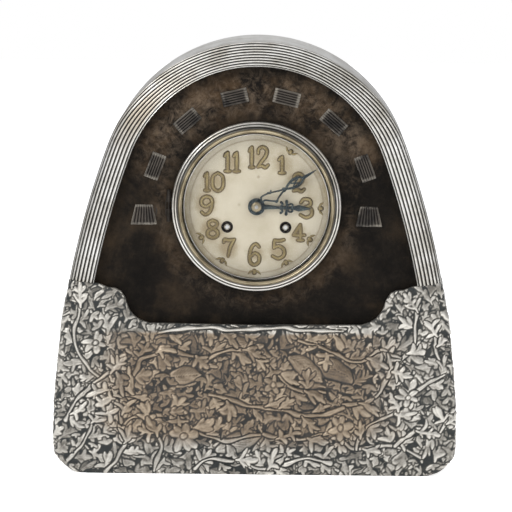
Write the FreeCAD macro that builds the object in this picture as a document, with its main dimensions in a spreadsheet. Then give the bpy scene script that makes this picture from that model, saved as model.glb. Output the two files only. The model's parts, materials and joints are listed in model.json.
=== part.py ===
import FreeCAD, Part
import math
import os

import Sketcher

# Arched mantel clock, millimetres, +Z up.
# The origin is the middle of the footprint on the surface that the clock stands on.
# The front faces -Y. Every arbor of the movement lies along Y.

doc = FreeCAD.newDocument("ArchedMantelClock")
Vector = FreeCAD.Vector

drivingSizes = {
    # case outline: a crown arc, two long side arcs and two small base corners, all tangent
    "caseWidth": 301,
    "caseHeight": 324,
    "caseDepth": 124,
    "crownRadius": 118.5,
    "cornerRadius": 24,
    # boards, shell and skins
    "shellWall": 10,
    "claddingThickness": 1.2,
    "frontBoardThickness": 10,
    "backBoardThickness": 10,
    "panelThickness": 1,
    # reeded moulding round the front
    "mouldingWidth": 18.5,
    "mouldingDepth": 8,
    "mouldingLip": 1,
    "mouldingTurn": 6,
    "flatReedCount": 5,
    "turnedReedCount": 4,
    "reedDepth": 0.7,
    # foliage apron round the lower third
    "apronRelief": 2.7,
    "apronSideRelief": 1.5,
    "apronHeight": 112.5,
    "apronToe": 84,
    "apronThroat": 105,
    "apronThroatHeight": 129,
    "apronBendRadius": 21,
    "earInner": 115,
    "earHeight": 139.5,
    "earBendRadius": 12,
    "earOuterHeight": 146,
    "earReveal": 1.5,
    # reeded blocks round the dial
    "dialDrop": 4.5,
    "blockCircle": 83,
    "blockLength": 20,
    "blockWidth": 10.5,
    "blockHeight": 1.3,
    "blockCount": 6,
    "blockReedCount": 5,
    "blockStepAngle": 27.3,
    "firstBlockAngle": 21.7,
    "fanDistance": 84,
    "fanDrop": 7,
    "fanTall": 15,
    "fanTopWidth": 13,
    "fanFootWidth": 20,
    # dial
    "dialOpening": 46,
    "dialRadius": 60.5,
    "dialThickness": 1.2,
    "dialRimInner": 53.6,
    "dialRimOuter": 54.9,
    "dialRimHeight": 4.8,
    "dialCentreHole": 3.6,
    "windingSpread": 21.8,
    "windingDrop": 15.6,
    "eyeletFlange": 4.4,
    "eyeletOuter": 3.8,
    "eyeletInner": 3,
    "eyeletProud": 0.8,
    # bezel, sight ring and crystal
    "bezelRadius": 63.5,
    "bezelClearance": 0.3,
    "bezelBackInner": 61.2,
    "bezelBandHeight": 4.8,
    "bezelBandFoot": 2,
    "bezelBandInner": 59.8,
    "bezelBandShoulder": 61.6,
    "bezelWallRadius": 59,
    "bezelGroove": 0.6,
    "bezelHeight": 12.5,
    "bezelWallInner": 57.5,
    "bezelBackStep": 3,
    "sightOuter": 58.7,
    "sightCrown": 58,
    "sightHeight": 2.4,
    "sightInner": 55.5,
    "sightInnerHeight": 0.6,
    "crystalThickness": 2,
    "crystalPlay": 0.1,
    "crystalBevel": 0.8,
    # bezel hinge
    "bezelKnuckleRadius": 1.7,
    "bezelPinRadius": 0.8,
    "bezelKnuckleLength": 5,
    "bezelHingeLeafWidth": 8,
    "bezelHingeLeafThickness": 0.8,
    "bezelHingeGap": 0.3,
    # hands
    "hourHandGap": 3,
    "handThickness": 0.8,
    "handGap": 1.4,
    "minuteHandLength": 52.6,
    "hourHandLength": 40.8,
    "minuteAngle": 60,
    "hourAngle": 92.5,
    "hourBossRadius": 6.4,
    "minuteBossRadius": 4.6,
    "hourBarWidth": 3.2,
    "hourCrossReach": 5,
    "hourCrossDistance": 22,
    "hourSpearWidth": 4.4,
    "minuteLyreWidth": 6.4,
    "minuteLyreLength": 31,
    "minuteStrand": 1.3,
    "minuteLeafWidth": 5,
    "minuteLeafStart": 34,
    "minuteLeafLength": 9,
    "minuteTipWidth": 1.5,
    "colletRadius": 3.8,
    "colletThickness": 1.4,
    "arborTip": 1.3,
    # movement plates
    "movementSpacer": 3,
    "spacerRadius": 4,
    "plateThickness": 2,
    "plateGap": 40,
    "plateHalfWidth": 49,
    "plateDrop": 45,
    "plateRise": 62,
    "plateCorner": 7,
    "pillarX": 41,
    "pillarLow": 38,
    "pillarHigh": 54,
    "pillarRadius": 3.2,
    # arbors
    "pivotRadius": 0.7,
    "pivotPlay": 0.05,
    "arborRadius": 0.95,
    "centreArborRadius": 1.6,
    "endShake": 0.2,
    "wheelThickness": 1.4,
    "pinionOverhang": 1.2,
    # barrels and their winding arbors
    "greatTeeth": 60,
    "greatPinionTeeth": 8,
    "barrelRadius": 18.5,
    "barrelLength": 25.5,
    "greatWheelThickness": 2.4,
    "barrelEndGap": 4,
    "windingArborRadius": 2.6,
    "windingSquare": 3.2,
    "windingTip": 1,
    "ratchetRadius": 8,
    "ratchetTeeth": 16,
    "ratchetToothDepth": 1.2,
    "ratchetThickness": 1.5,
    "ratchetGap": 0.7,
    "countWheelRadius": 18.7,
    "countWheelThickness": 1.2,
    "countNotchDepth": 2,
    "countNotchWidth": 1.5,
    # clicks
    "clickPivotRadius": 1.2,
    "clickHubRadius": 2.4,
    "clickDistance": 11.5,
    "clickBeakWidth": 1.6,
    "clickClearance": 0.4,
    "clickAngle": 60,
    "clickBeakAngle": 50,
    # going train
    "centreTeeth": 60,
    "centreModule": 0.6667,
    "thirdPinionTeeth": 6,
    "centreWheelGap": 1,
    "thirdX": 10,
    "thirdTeeth": 54,
    "thirdModule": 0.6,
    "escapePinionTeeth": 6,
    "thirdPlane": 18,
    "escapeTeeth": 50,
    "escapeRadius": 13,
    "escapeToothDepth": 1.6,
    "escapePlane": 32,
    "anchorRise": 19,
    "anchorSpread": 9.6,
    "palletClearance": 0.4,
    "pendulumSwingAngle": 4,
    "anchorArm": 2.4,
    # motion work
    "cannonTeeth": 9,
    "minuteWheelTeeth": 27,
    "motionModuleFirst": 0.8,
    "minutePinionTeeth": 8,
    "hourWheelTeeth": 32,
    "motionAngle": 60,
    "motionGap": 1.2,
    "cannonPipeRadius": 2,
    "hourPipeRadius": 3,
    "studRadius": 1.2,
    # strike train
    "pinWheelAngle": 90,
    "pinWheelTeeth": 48,
    "pinWheelModule": 0.5667,
    "pinWheelPlane": 34.2,
    "liftPinCount": 12,
    "liftPinCircle": 10.4,
    "liftPinRadius": 0.6,
    "liftPinLength": 2.6,
    "lockPinionTeeth": 6,
    "lockAngle": 100,
    "lockTeeth": 42,
    "lockModule": 0.55,
    "lockPlane": 18.2,
    "flyPinionTeeth": 6,
    "flyAngle": 60,
    "flyWidth": 14,
    "flyThickness": 0.6,
    "flyLength": 12,
    "flyGap": 2,
    # suspension and pendulum
    "bobLift": 71.6,
    "suspensionY": 14,
    "cockWidth": 12,
    "cockHeight": 16,
    "cockClear": 2.6,
    "cockSlot": 1.8,
    "cockSlotHeight": 8,
    "springWidth": 4,
    "springThickness": 0.3,
    "springRise": 5,
    "springDrop": 8,
    "rodRadius": 1.1,
    "rodTail": 16,
    "bobRadius": 19,
    "bobThickness": 9,
    "bobRim": 2,
    "nutRadius": 4,
    "nutHeight": 5,
    "crutchGap": 4,
    "crutchLength": 44,
    "crutchWidth": 3,
    "crutchThickness": 1.2,
    "crutchProng": 3,
    "crutchPlay": 0.25,
    # hammer and gong
    "hammerX": 40,
    "hammerRise": 8,
    "hammerTail": 6.8,
    "hammerTailWidth": 1.6,
    "tailGap": 0.4,
    "hammerStem": 53,
    "hammerStemRadius": 1.1,
    "hammerLeanAngle": 12,
    "hammerY": 24,
    "hammerHeadRadius": 4,
    "gongDrop": 51,
    "gongRadius": 45,
    "gongPitch": 7,
    "gongTurnCount": 2,
    "gongWidth": 1.6,
    "gongThickness": 3,
    "gongY": 36,
    "gongTail": 38,
    "gongPost": 12,
    # back door, hinges and catch
    "doorHalfWidth": 62,
    "doorFoot": 36,
    "doorSpringDrop": 1.5,
    "doorGap": 0.8,
    "hingeKnuckleRadius": 2.2,
    "hingePinRadius": 1.1,
    "hingeLeafWidth": 12,
    "hingeLeafThickness": 1,
    "hingeLength": 24,
    "hingeLow": 66,
    "hingeHighDrop": 14,
    "hingeGap": 0.3,
    "knobInset": 11,
    "knobHeight": 140,
    "knobRadius": 6.5,
    "knobLength": 12,
    "spindleRadius": 2,
    "tongueLength": 20,
    "tongueWidth": 8,
    "tongueThickness": 1.5,
    "catchGap": 0.3,
    # one overrun for all cuts, and a quarter turn in degrees
    "overrun": 1,
    "quarterTurnAngle": 90,
    # flats of every thin rod, pin and pivot
    "rodSideCount": 12,
}

sheet = doc.addObject("Spreadsheet::Sheet", "Sizes")
for row, (name, number) in enumerate(drivingSizes.items(), start=1):
    sheet.set(f"A{row}", name)
    sheet.set(f"B{row}", str(number))
    sheet.setAlias(f"B{row}", name)
doc.recompute()


class Size:
    """A size as the expression that binds it, with its present value."""

    def __init__(self, text, value):
        self.text = text
        self.value = value

    def __add__(self, other):
        return joined(self, "+", other, self.value + valueOf(other))

    def __sub__(self, other):
        return joined(self, "-", other, self.value - valueOf(other))

    def __mul__(self, other):
        return joined(self, "*", other, self.value * valueOf(other))

    def __truediv__(self, other):
        return joined(self, "/", other, self.value / valueOf(other))

    def __rmul__(self, other):
        return joined(other, "*", self, valueOf(other) * self.value)

    def __rsub__(self, other):
        return joined(other, "-", self, valueOf(other) - self.value)

    def __neg__(self):
        return Size(f"(0 - {self.text})", -self.value)


def valueOf(item):
    return item.value if isinstance(item, Size) else item


def textOf(item):
    return item.text if isinstance(item, Size) else repr(item)


def joined(left, sign, right, value):
    return Size(f"({textOf(left)} {sign} {textOf(right)})", value)


def root(item):
    return Size(f"sqrt({item.text})", math.sqrt(item.value))


def sine(item):
    return Size(f"sin({item.text})", math.sin(math.radians(item.value)))


def cosine(item):
    return Size(f"cos({item.text})", math.cos(math.radians(item.value)))


class Sizes:
    """Gives each driving size of the sheet by its alias."""

    def __getattr__(self, name):
        return Size(f"Sizes.{name}", float(sheet.get(name)))


s = Sizes()
zero = Size("0", 0)
flatShare = cosine(Size("180", 180) / s.rodSideCount)
nodes = {}


def bind(target, **properties):
    """Binds properties, given with __ for each dot, to sizes."""
    for name, size in properties.items():
        target.setExpression(name.replace("__", "."), textOf(size))


def node(item):
    """Keeps an object as a sub-part that is written out under its label."""
    nodes[item.Label] = item
    return item


# sketches

def sketchOn(body, role, offset=zero):
    sketch = body.newObject("Sketcher::SketchObject", body.Name + "Sketch")
    planes = [item for item in body.Origin.OriginFeatures if item.Role == role]
    sketch.AttachmentSupport = [(planes[0], "")]
    sketch.MapMode = "FlatFace"
    bind(sketch, AttachmentOffset__Base__z=offset)
    return sketch


def pinPoint(sketch, curve, point, x, y):
    """Holds one point of a curve at a place given by two sizes."""
    for size, kind, axis in ((x, "DistanceX", -2), (y, "DistanceY", -1)):
        if size is zero:
            sketch.addConstraint(Sketcher.Constraint("PointOnObject", curve, point, axis))
        else:
            index = sketch.addConstraint(Sketcher.Constraint(kind, -1, 1, curve, point, size.value))
            sketch.setExpression(f"Constraints[{index}]", size.text)


def loop(sketch, points):
    """Draws a closed loop. A point is (x, y), or (x, y, radius, turn) where an arc leaves it.

    turn is 1 for an arc that runs counter-clockwise to the next point, else -1.
    """
    curves = []
    for place, start in enumerate(points):
        end = points[(place + 1) % len(points)]
        a = Vector(start[0].value, start[1].value, 0)
        b = Vector(end[0].value, end[1].value, 0)
        if len(start) == 2:
            curves.append((sketch.addGeometry(Part.LineSegment(a, b), False), 1, 2))
            continue
        radius, turn = start[2].value, start[3]
        chord = b - a
        half = chord.Length / 2
        reach = math.sqrt(max(radius * radius - half * half, 0))
        side = Vector(-chord.y, chord.x, 0).normalize() * (reach * turn)
        centre = a + chord / 2 + side
        first, last = (a, b) if turn > 0 else (b, a)
        angles = [math.atan2(p.y - centre.y, p.x - centre.x) for p in (first, last)]
        circle = Part.Circle(centre, Vector(0, 0, 1), radius)
        index = sketch.addGeometry(Part.ArcOfCircle(circle, angles[0], angles[1]), False)
        curves.append((index, 1, 2) if turn > 0 else (index, 2, 1))
        rule = sketch.addConstraint(Sketcher.Constraint("Radius", index, radius))
        sketch.setExpression(f"Constraints[{rule}]", start[2].text)
    for place, start in enumerate(points):
        index, head, _ = curves[place]
        before, _, tail = curves[place - 1]
        sketch.addConstraint(Sketcher.Constraint("Coincident", before, tail, index, head))
        pinPoint(sketch, index, head, start[0], start[1])


def circle(sketch, x, y, radius):
    centre = Vector(x.value, y.value, 0)
    index = sketch.addGeometry(Part.Circle(centre, Vector(0, 0, 1), radius.value), False)
    rule = sketch.addConstraint(Sketcher.Constraint("Radius", index, radius.value))
    sketch.setExpression(f"Constraints[{rule}]", radius.text)
    pinPoint(sketch, index, 3, x, y)


# solids

def newBody(label):
    body = doc.addObject("PartDesign::Body", label)
    body.Label = label
    return body


def padded(label, loops, back, thickness, holes=()):
    """Pads loops of the XZ plane from the depth back towards the front."""
    body = newBody(label)
    addPad(body, loops, back, thickness, holes)
    return body


def addPad(body, loops, back, thickness, holes=()):
    sketch = sketchOn(body, "XZ_Plane", -back)
    for points in loops:
        loop(sketch, points)
    for x, y, radius in holes:
        circle(sketch, x, y, radius)
    pad = body.newObject("PartDesign::Pad", body.Name + "Pad")
    pad.Profile = sketch
    bind(pad, Length=thickness)
    return pad


def turned(label, points, x=zero, z=zero):
    """Revolves a loop of (radius, depth) points about the arbor at x, z."""
    body = newBody(label)
    sketch = sketchOn(body, "XY_Plane")
    loop(sketch, points)
    revolution = body.newObject("PartDesign::Revolution", label + "Turning")
    revolution.Profile = sketch
    revolution.ReferenceAxis = (sketch, ["V_Axis"])
    revolution.Angle = 360
    bind(body, Placement__Base__x=x, Placement__Base__z=z)
    return body


def drum(label, radius, x, z, front, back):
    """A round cylinder along Y."""
    item = doc.addObject("Part::Cylinder", label)
    bind(item, Radius=radius)
    return alongY(item, label, x, z, front, back)


def rod(label, radius, x, z, front, back):
    """A thin rod along Y with many flats, its edges at the radius."""
    item = doc.addObject("Part::Prism", label)
    bind(item, Polygon=s.rodSideCount, Circumradius=radius)
    return alongY(item, label, x, z, front, back)


def bore(label, radius, x, z, front, back):
    """The space of a hole for such a rod, its flats at the radius."""
    return rod(label, radius / flatShare, x, z, front, back)


def alongY(item, label, x, z, front, back):
    item.Label = label
    item.Placement = FreeCAD.Placement(Vector(), FreeCAD.Rotation(Vector(1, 0, 0), 90))
    bind(item, Height=back - front)
    bind(item, Placement__Base__x=x, Placement__Base__y=back, Placement__Base__z=z)
    return item


def block(label, low, high):
    """A box between two corners."""
    item = doc.addObject("Part::Box", label)
    item.Label = label
    bind(item, Length=high[0] - low[0], Width=high[1] - low[1], Height=high[2] - low[2])
    bind(item, Placement__Base__x=low[0], Placement__Base__y=low[1], Placement__Base__z=low[2])
    return item


def fused(label, *items):
    result = doc.addObject("Part::MultiFuse", label)
    result.Label = label
    result.Shapes = list(items)
    return result


def cutFrom(label, base, tool):
    result = doc.addObject("Part::Cut", label)
    result.Label = label
    result.Base = base
    result.Tool = tool
    return result


def grouped(label, *items):
    result = doc.addObject("Part::Compound", label)
    result.Label = label
    result.Links = list(items)
    return result


def mirroredCopy(label, item):
    copy = doc.addObject("Part::Mirroring", label)
    copy.Label = label
    copy.Source = item
    copy.Normal = Vector(1, 0, 0)
    return copy


def shaped(label, shape):
    item = doc.addObject("Part::Feature", label)
    item.Label = label
    item.Shape = shape
    return item


# planes along the depth, from the front to the back

mouldingFront = -s.caseDepth / 2
caseBack = s.caseDepth / 2
panelFront = mouldingFront + s.mouldingDepth
boardFront = panelFront + s.panelThickness
shellFront = boardFront + s.frontBoardThickness
shellBack = caseBack - s.backBoardThickness
dialFront = panelFront - s.dialThickness
frontPlateFront = shellFront + s.movementSpacer
frontPlateBack = frontPlateFront + s.plateThickness
backPlateFront = frontPlateBack + s.plateGap
backPlateBack = backPlateFront + s.plateThickness
bezelHingeX = -(s.bezelRadius + s.bezelKnuckleRadius + s.bezelHingeGap)

# the arch: half width, centre of the crown and radius of the long side arcs

halfWidth = s.caseWidth / 2
crownCentre = s.caseHeight - s.crownRadius
dialHeight = crownCentre - s.dialDrop
doorSpring = crownCentre - s.doorSpringDrop
crownRise = crownCentre - s.cornerRadius
sideRadius = (halfWidth * halfWidth + crownRise * crownRise - s.crownRadius * s.crownRadius) / (
    2 * (halfWidth - s.crownRadius))
sideCentre = halfWidth - sideRadius
centresApart = sideRadius - s.crownRadius


def sideX(offset, height):
    """Half width of the arch at a height, a distance inside its outline."""
    radius = sideRadius - offset
    rise = height - s.cornerRadius
    return sideCentre + root(radius * radius - rise * rise)


def shoulder(offset):
    """The point where the side arc meets the crown arc."""
    radius = s.crownRadius - offset
    x = -(radius * sideCentre) / centresApart
    return x, crownCentre + radius * crownRise / centresApart


def sideArc(offset, height, turn=1):
    return (sideX(offset, height), height, sideRadius - offset, turn)


def archHalf(offset, height):
    """Right half of the arch from a height up to the shoulder, then the crown arc to the left."""
    x, z = shoulder(offset)
    return [sideArc(offset, height), (x, z, s.crownRadius - offset, 1)]


def archOver(offset, height):
    """The arch from a height at the right to the same height at the left."""
    right = archHalf(offset, height)
    x, z = shoulder(offset)
    return right + [(-x, z, sideRadius - offset, 1), (-sideX(offset, height), height)]


def archBack(offset, height):
    """The same arch run from the left to the right."""
    x, z = shoulder(offset)
    return [
        (-sideX(offset, height), height, sideRadius - offset, -1),
        (-x, z, s.crownRadius - offset, -1),
        (x, z, sideRadius - offset, -1),
        (sideX(offset, height), height),
    ]


def baseCorner(offset):
    """Right base corner, from the flat base up to the widest height."""
    flat = halfWidth - s.cornerRadius
    return [(flat, zero), (flat, offset, s.cornerRadius - offset, 1)]


def fullOutline(offset):
    """The whole outline inside the cladding, with its flat base at the surface."""
    right = baseCorner(offset) + archHalf(offset, s.cornerRadius)
    x, z = shoulder(offset)
    flat = halfWidth - s.cornerRadius
    left = [
        (-x, z, sideRadius - offset, 1),
        (-sideX(offset, s.cornerRadius), s.cornerRadius, s.cornerRadius - offset, 1),
        (-flat, offset),
        (-flat, zero),
    ]
    return right + left


# case

skin = s.claddingThickness
lining = skin + s.shellWall


def makeBaseBoard():
    flat = halfWidth - s.cornerRadius
    right = baseCorner(skin) + [(sideX(skin, s.cornerRadius), s.cornerRadius)]
    left = [
        (-sideX(skin, s.cornerRadius), s.cornerRadius, s.cornerRadius - skin, 1),
        (-flat, skin),
        (-flat, zero),
    ]
    return node(padded("base_board", [right + left], shellBack, shellBack - shellFront))


def makeCaseShell():
    outline = archOver(skin, s.cornerRadius) + archBack(lining, s.cornerRadius)
    return node(padded("case_shell", [outline], shellBack, shellBack - shellFront))


def makeFrontBoard():
    hole = [(zero, dialHeight, s.dialOpening)]
    return node(padded("front_board", [fullOutline(skin)], shellFront, s.frontBoardThickness, hole))


def makeFrontPanel():
    """Dark sheet on the front board."""
    hole = [(zero, dialHeight, s.dialOpening)]
    return node(padded("front_panel", [fullOutline(skin)], boardFront, s.panelThickness, hole))


def makeCladding():
    """Bent sheet over the sides and the crown, down to the base corners."""
    flat = halfWidth - s.cornerRadius
    x, z = shoulder(zero)
    xin, zin = shoulder(skin)
    outline = [
        (flat, zero, s.cornerRadius, 1),
        (halfWidth, s.cornerRadius, sideRadius, 1),
        (x, z, s.crownRadius, 1),
        (-x, z, sideRadius, 1),
        (-halfWidth, s.cornerRadius, s.cornerRadius, 1),
        (-flat, zero),
        (-flat, skin, s.cornerRadius - skin, -1),
        (-halfWidth + skin, s.cornerRadius, sideRadius - skin, -1),
        (-xin, zin, s.crownRadius - skin, -1),
        (xin, zin, sideRadius - skin, -1),
        (halfWidth - skin, s.cornerRadius, s.cornerRadius - skin, -1),
        (flat, skin),
    ]
    return node(padded("side_cladding", [outline], caseBack, caseBack - panelFront))


def makeApronBoard():
    """Thick lower board that carries the apron, its ears as high as the moulding's feet."""
    top = s.earHeight - s.earReveal
    right = [
        (halfWidth - s.cornerRadius, zero, s.cornerRadius, 1),
        sideArc(zero, s.cornerRadius),
        (sideX(zero, top), top),
        (s.earInner + s.earReveal, top, s.earBendRadius, 1),
        (s.apronThroat + s.earReveal, s.apronThroatHeight - s.earReveal, s.apronBendRadius, -1),
        (s.apronToe + s.earReveal, s.apronHeight - s.earReveal),
    ]
    return node(padded("apron_board", [closedOverFront(right)], panelFront, s.mouldingDepth))


def closedOverFront(right):
    """Adds the mirror image of a right half whose first and last points lie off the middle."""
    left = []
    for place in range(len(right) - 1, -1, -1):
        x, z = right[place][0], right[place][1]
        arc = right[place - 1][2:] if place else ()
        left.append((-x, z) + tuple(arc))
    return right + left


def makeApron():
    """Embossed sheet over the lower front, wrapped round both sides to the back."""
    grown = -s.apronSideRelief
    outer = s.cornerRadius + s.apronSideRelief
    foot = halfWidth - s.cornerRadius + root(outer * outer - s.cornerRadius * s.cornerRadius)
    right = [
        (foot, zero, outer, 1),
        sideArc(grown, s.cornerRadius),
        (sideX(grown, s.earOuterHeight), s.earOuterHeight),
        (s.earInner, s.earHeight, s.earBendRadius, 1),
        (s.apronThroat, s.apronThroatHeight, s.apronBendRadius, -1),
        (s.apronToe, s.apronHeight),
    ]
    front = [closedOverFront(right)]
    body = padded("foliage_apron", front, mouldingFront, s.apronRelief)
    wrap = [
        (foot, zero, outer, 1),
        sideArc(grown, s.cornerRadius),
        (sideX(grown, s.earOuterHeight), s.earOuterHeight),
        (sideX(zero, s.earOuterHeight), s.earOuterHeight, sideRadius, -1),
        (halfWidth, s.cornerRadius, s.cornerRadius, -1),
        (halfWidth - s.cornerRadius, zero),
    ]
    left = [(-p[0], p[1]) + tuple(p[2:]) for p in wrap]
    flipped = []
    for place in range(len(left) - 1, -1, -1):
        arc = left[place - 1][2:]
        flipped.append(left[place][:2] + tuple(arc))
    addPad(body, [wrap, flipped], caseBack, s.caseDepth)
    return node(body)


# where the flat top of a reed starts and ends, as shares of its pitch
reedShares = (0.25, 0.75)


def makeMoulding():
    """Reeded moulding: one profile piped along half the arch, mirrored, with level feet."""
    body = newBody("reeded_moulding")
    spine = sketchOn(body, "XZ_Plane")
    foot = s.apronHeight
    x, z = shoulder(zero)
    centre = Vector(0, crownCentre.value, 0)
    start = math.atan2(z.value - centre.y, x.value)
    crown = Part.Circle(centre, Vector(0, 0, 1), s.crownRadius.value)
    first = spine.addGeometry(Part.ArcOfCircle(crown, start, math.pi / 2), False)
    middle = Vector(sideCentre.value, s.cornerRadius.value, 0)
    low = math.atan2(foot.value - middle.y, sideX(zero, foot).value - middle.x)
    side = Part.Circle(middle, Vector(0, 0, 1), sideRadius.value)
    second = spine.addGeometry(Part.ArcOfCircle(side, low, start), False)
    spine.addConstraint(Sketcher.Constraint("Coincident", first, 1, second, 2))
    for index, radius in ((first, s.crownRadius), (second, sideRadius)):
        rule = spine.addConstraint(Sketcher.Constraint("Radius", index, radius.value))
        spine.setExpression(f"Constraints[{rule}]", radius.text)
    pinPoint(spine, first, 2, zero, s.caseHeight)
    pinPoint(spine, first, 1, x, z)
    pinPoint(spine, second, 1, sideX(zero, foot), foot)

    profile = sketchOn(body, "YZ_Plane")
    inner = s.caseHeight - s.mouldingWidth
    valley = mouldingFront + s.reedDepth
    flatStart = inner + s.mouldingLip
    turnCentre = s.caseHeight - s.mouldingTurn
    pitch = (turnCentre - flatStart) / s.flatReedCount
    points = [(panelFront, s.caseHeight), (panelFront, inner), (mouldingFront, inner)]
    points.append((mouldingFront, flatStart - s.reedDepth / 2))
    for reed in range(int(s.flatReedCount.value)):
        points.append((valley, flatStart + pitch * reed))
        for share in reedShares:
            points.append((mouldingFront, flatStart + pitch * reed + pitch * share))
    valleyRadius = s.mouldingTurn - s.reedDepth
    step = s.quarterTurnAngle / s.turnedReedCount
    for reed in range(int(s.turnedReedCount.value)):
        places = [(valleyRadius, zero)] + [(s.mouldingTurn, step * share) for share in reedShares]
        for radius, extra in places:
            angle = step * reed + extra
            depth = mouldingFront + s.mouldingTurn - radius * cosine(angle)
            points.append((depth, turnCentre + radius * sine(angle)))
    points.append((mouldingFront + s.mouldingTurn, turnCentre + valleyRadius))
    points.append((mouldingFront + s.mouldingTurn, s.caseHeight))
    loop(profile, points)

    pipe = body.newObject("PartDesign::AdditivePipe", "ReedPipe")
    pipe.Profile = profile
    pipe.Spine = (spine, ["Edge1", "Edge2"])
    doc.recompute()
    mirror = body.newObject("PartDesign::Mirrored", "ReedMirror")
    mirror.Originals = [pipe]
    planes = [item for item in body.Origin.OriginFeatures if item.Role == "YZ_Plane"]
    mirror.MirrorPlane = (planes[0], [""])
    body.Tip = mirror
    doc.recompute()
    feet = sketchOn(body, "XZ_Plane", -panelFront - s.overrun)
    top = s.earHeight - s.earReveal
    reach = halfWidth + s.overrun
    loop(feet, [(-reach, zero), (reach, zero), (reach, top), (-reach, top)])
    pocket = body.newObject("PartDesign::Pocket", "FeetCut")
    pocket.Profile = feet
    pocket.Midplane = True
    bind(pocket, Length=2 * s.caseDepth)
    return node(body)


# reeded blocks round the dial


def blockSection(start, end):
    """Section of a block with a row of reeds that stand towards the front."""
    front = panelFront - s.blockHeight
    valley = front + s.reedDepth
    pitch = (end - start) / s.blockReedCount
    row = []
    for reed in range(int(s.blockReedCount.value)):
        row.append((start + pitch * reed, valley))
        row.append((start + pitch * reed + pitch / 2, front))
    return row + [(end, valley), (end, panelFront), (start, panelFront)]


def makeRayBlocks():
    """Six reeded blocks on a circle round the dial, their reeds along its tangent."""
    body = newBody("ray_blocks")
    body.Placement = FreeCAD.Placement(Vector(), FreeCAD.Rotation(Vector(0, 1, 0), -1))
    bind(body, Placement__Base__z=dialHeight, Placement__Rotation__Angle=-s.firstBlockAngle)
    sketch = sketchOn(body, "XY_Plane")
    start = s.blockCircle - s.blockWidth / 2
    loop(sketch, blockSection(start, start + s.blockWidth))
    pad = body.newObject("PartDesign::Pad", "RayPad")
    pad.Profile = sketch
    pad.Midplane = True
    bind(pad, Length=s.blockLength)
    doc.recompute()
    pattern = body.newObject("PartDesign::PolarPattern", "RayPattern")
    pattern.Originals = [pad]
    axes = [item for item in body.Origin.OriginFeatures if item.Role == "Y_Axis"]
    pattern.Axis = (axes[0], [""])
    pattern.Reversed = True
    bind(pattern, Occurrences=s.blockCount, Angle=s.blockStepAngle * (s.blockCount - 1))
    body.Tip = pattern
    return node(body)


def makeFanBlocks():
    """Two reeded blocks beside the dial that flare towards their feet."""
    body = newBody("fanBlock")
    top = dialHeight - s.fanDrop + s.fanTall / 2
    sections = []
    for width, height in ((s.fanTopWidth, top), (s.fanFootWidth, top - s.fanTall)):
        sketch = sketchOn(body, "XY_Plane", height)
        loop(sketch, blockSection(s.fanDistance - width / 2, s.fanDistance + width / 2))
        sections.append(sketch)
    loft = body.newObject("PartDesign::AdditiveLoft", "FanLoft")
    loft.Profile = sections[0]
    loft.Sections = [sections[1]]
    loft.Ruled = True
    return node(grouped("fan_blocks", body, mirroredCopy("fanBlockLeft", body)))


# dial

windingHeight = dialHeight - s.windingDrop


def makeDial():
    holes = [
        (zero, dialHeight, s.dialRadius),
        (zero, dialHeight, s.dialCentreHole),
        (s.windingSpread, windingHeight, s.eyeletOuter),
        (-s.windingSpread, windingHeight, s.eyeletOuter),
    ]
    node(padded("dial_plate", [], panelFront, s.dialThickness, holes))
    front = dialFront - s.dialRimHeight
    node(turned("dial_rim", [
        (s.dialRimInner, dialFront),
        (s.dialRimOuter, dialFront),
        (s.dialRimOuter, front),
        ((s.dialRimInner + s.dialRimOuter) / 2, front),
    ], zero, dialHeight))
    flange = dialFront - s.eyeletProud
    eyelet = turned("eyelet", [
        (s.eyeletInner, flange),
        (s.eyeletFlange, flange),
        (s.eyeletFlange, dialFront),
        (s.eyeletOuter, dialFront),
        (s.eyeletOuter, panelFront),
        (s.eyeletInner, panelFront),
    ], s.windingSpread, windingHeight)
    node(grouped("winding_eyelets", eyelet, mirroredCopy("eyeletLeft", eyelet)))


# bezel, hinged at the left

bezelBack = panelFront - s.bezelClearance
bezelFront = bezelBack - s.bezelHeight
bezelHingeY = panelFront - s.bezelKnuckleRadius - s.bezelHingeGap


def post(label, radius, x, y, low, high):
    """A thin rod along Z with many flats, its edges at the radius."""
    item = doc.addObject("Part::Prism", label)
    item.Label = label
    bind(item, Polygon=s.rodSideCount, Circumradius=radius, Height=high - low)
    bind(item, Placement__Base__x=x, Placement__Base__y=y, Placement__Base__z=low)
    return item


def postBore(label, radius, x, y, low, high):
    """The space of a hole for such a rod, its flats at the radius."""
    return post(label, radius / flatShare, x, y, low, high)


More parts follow.
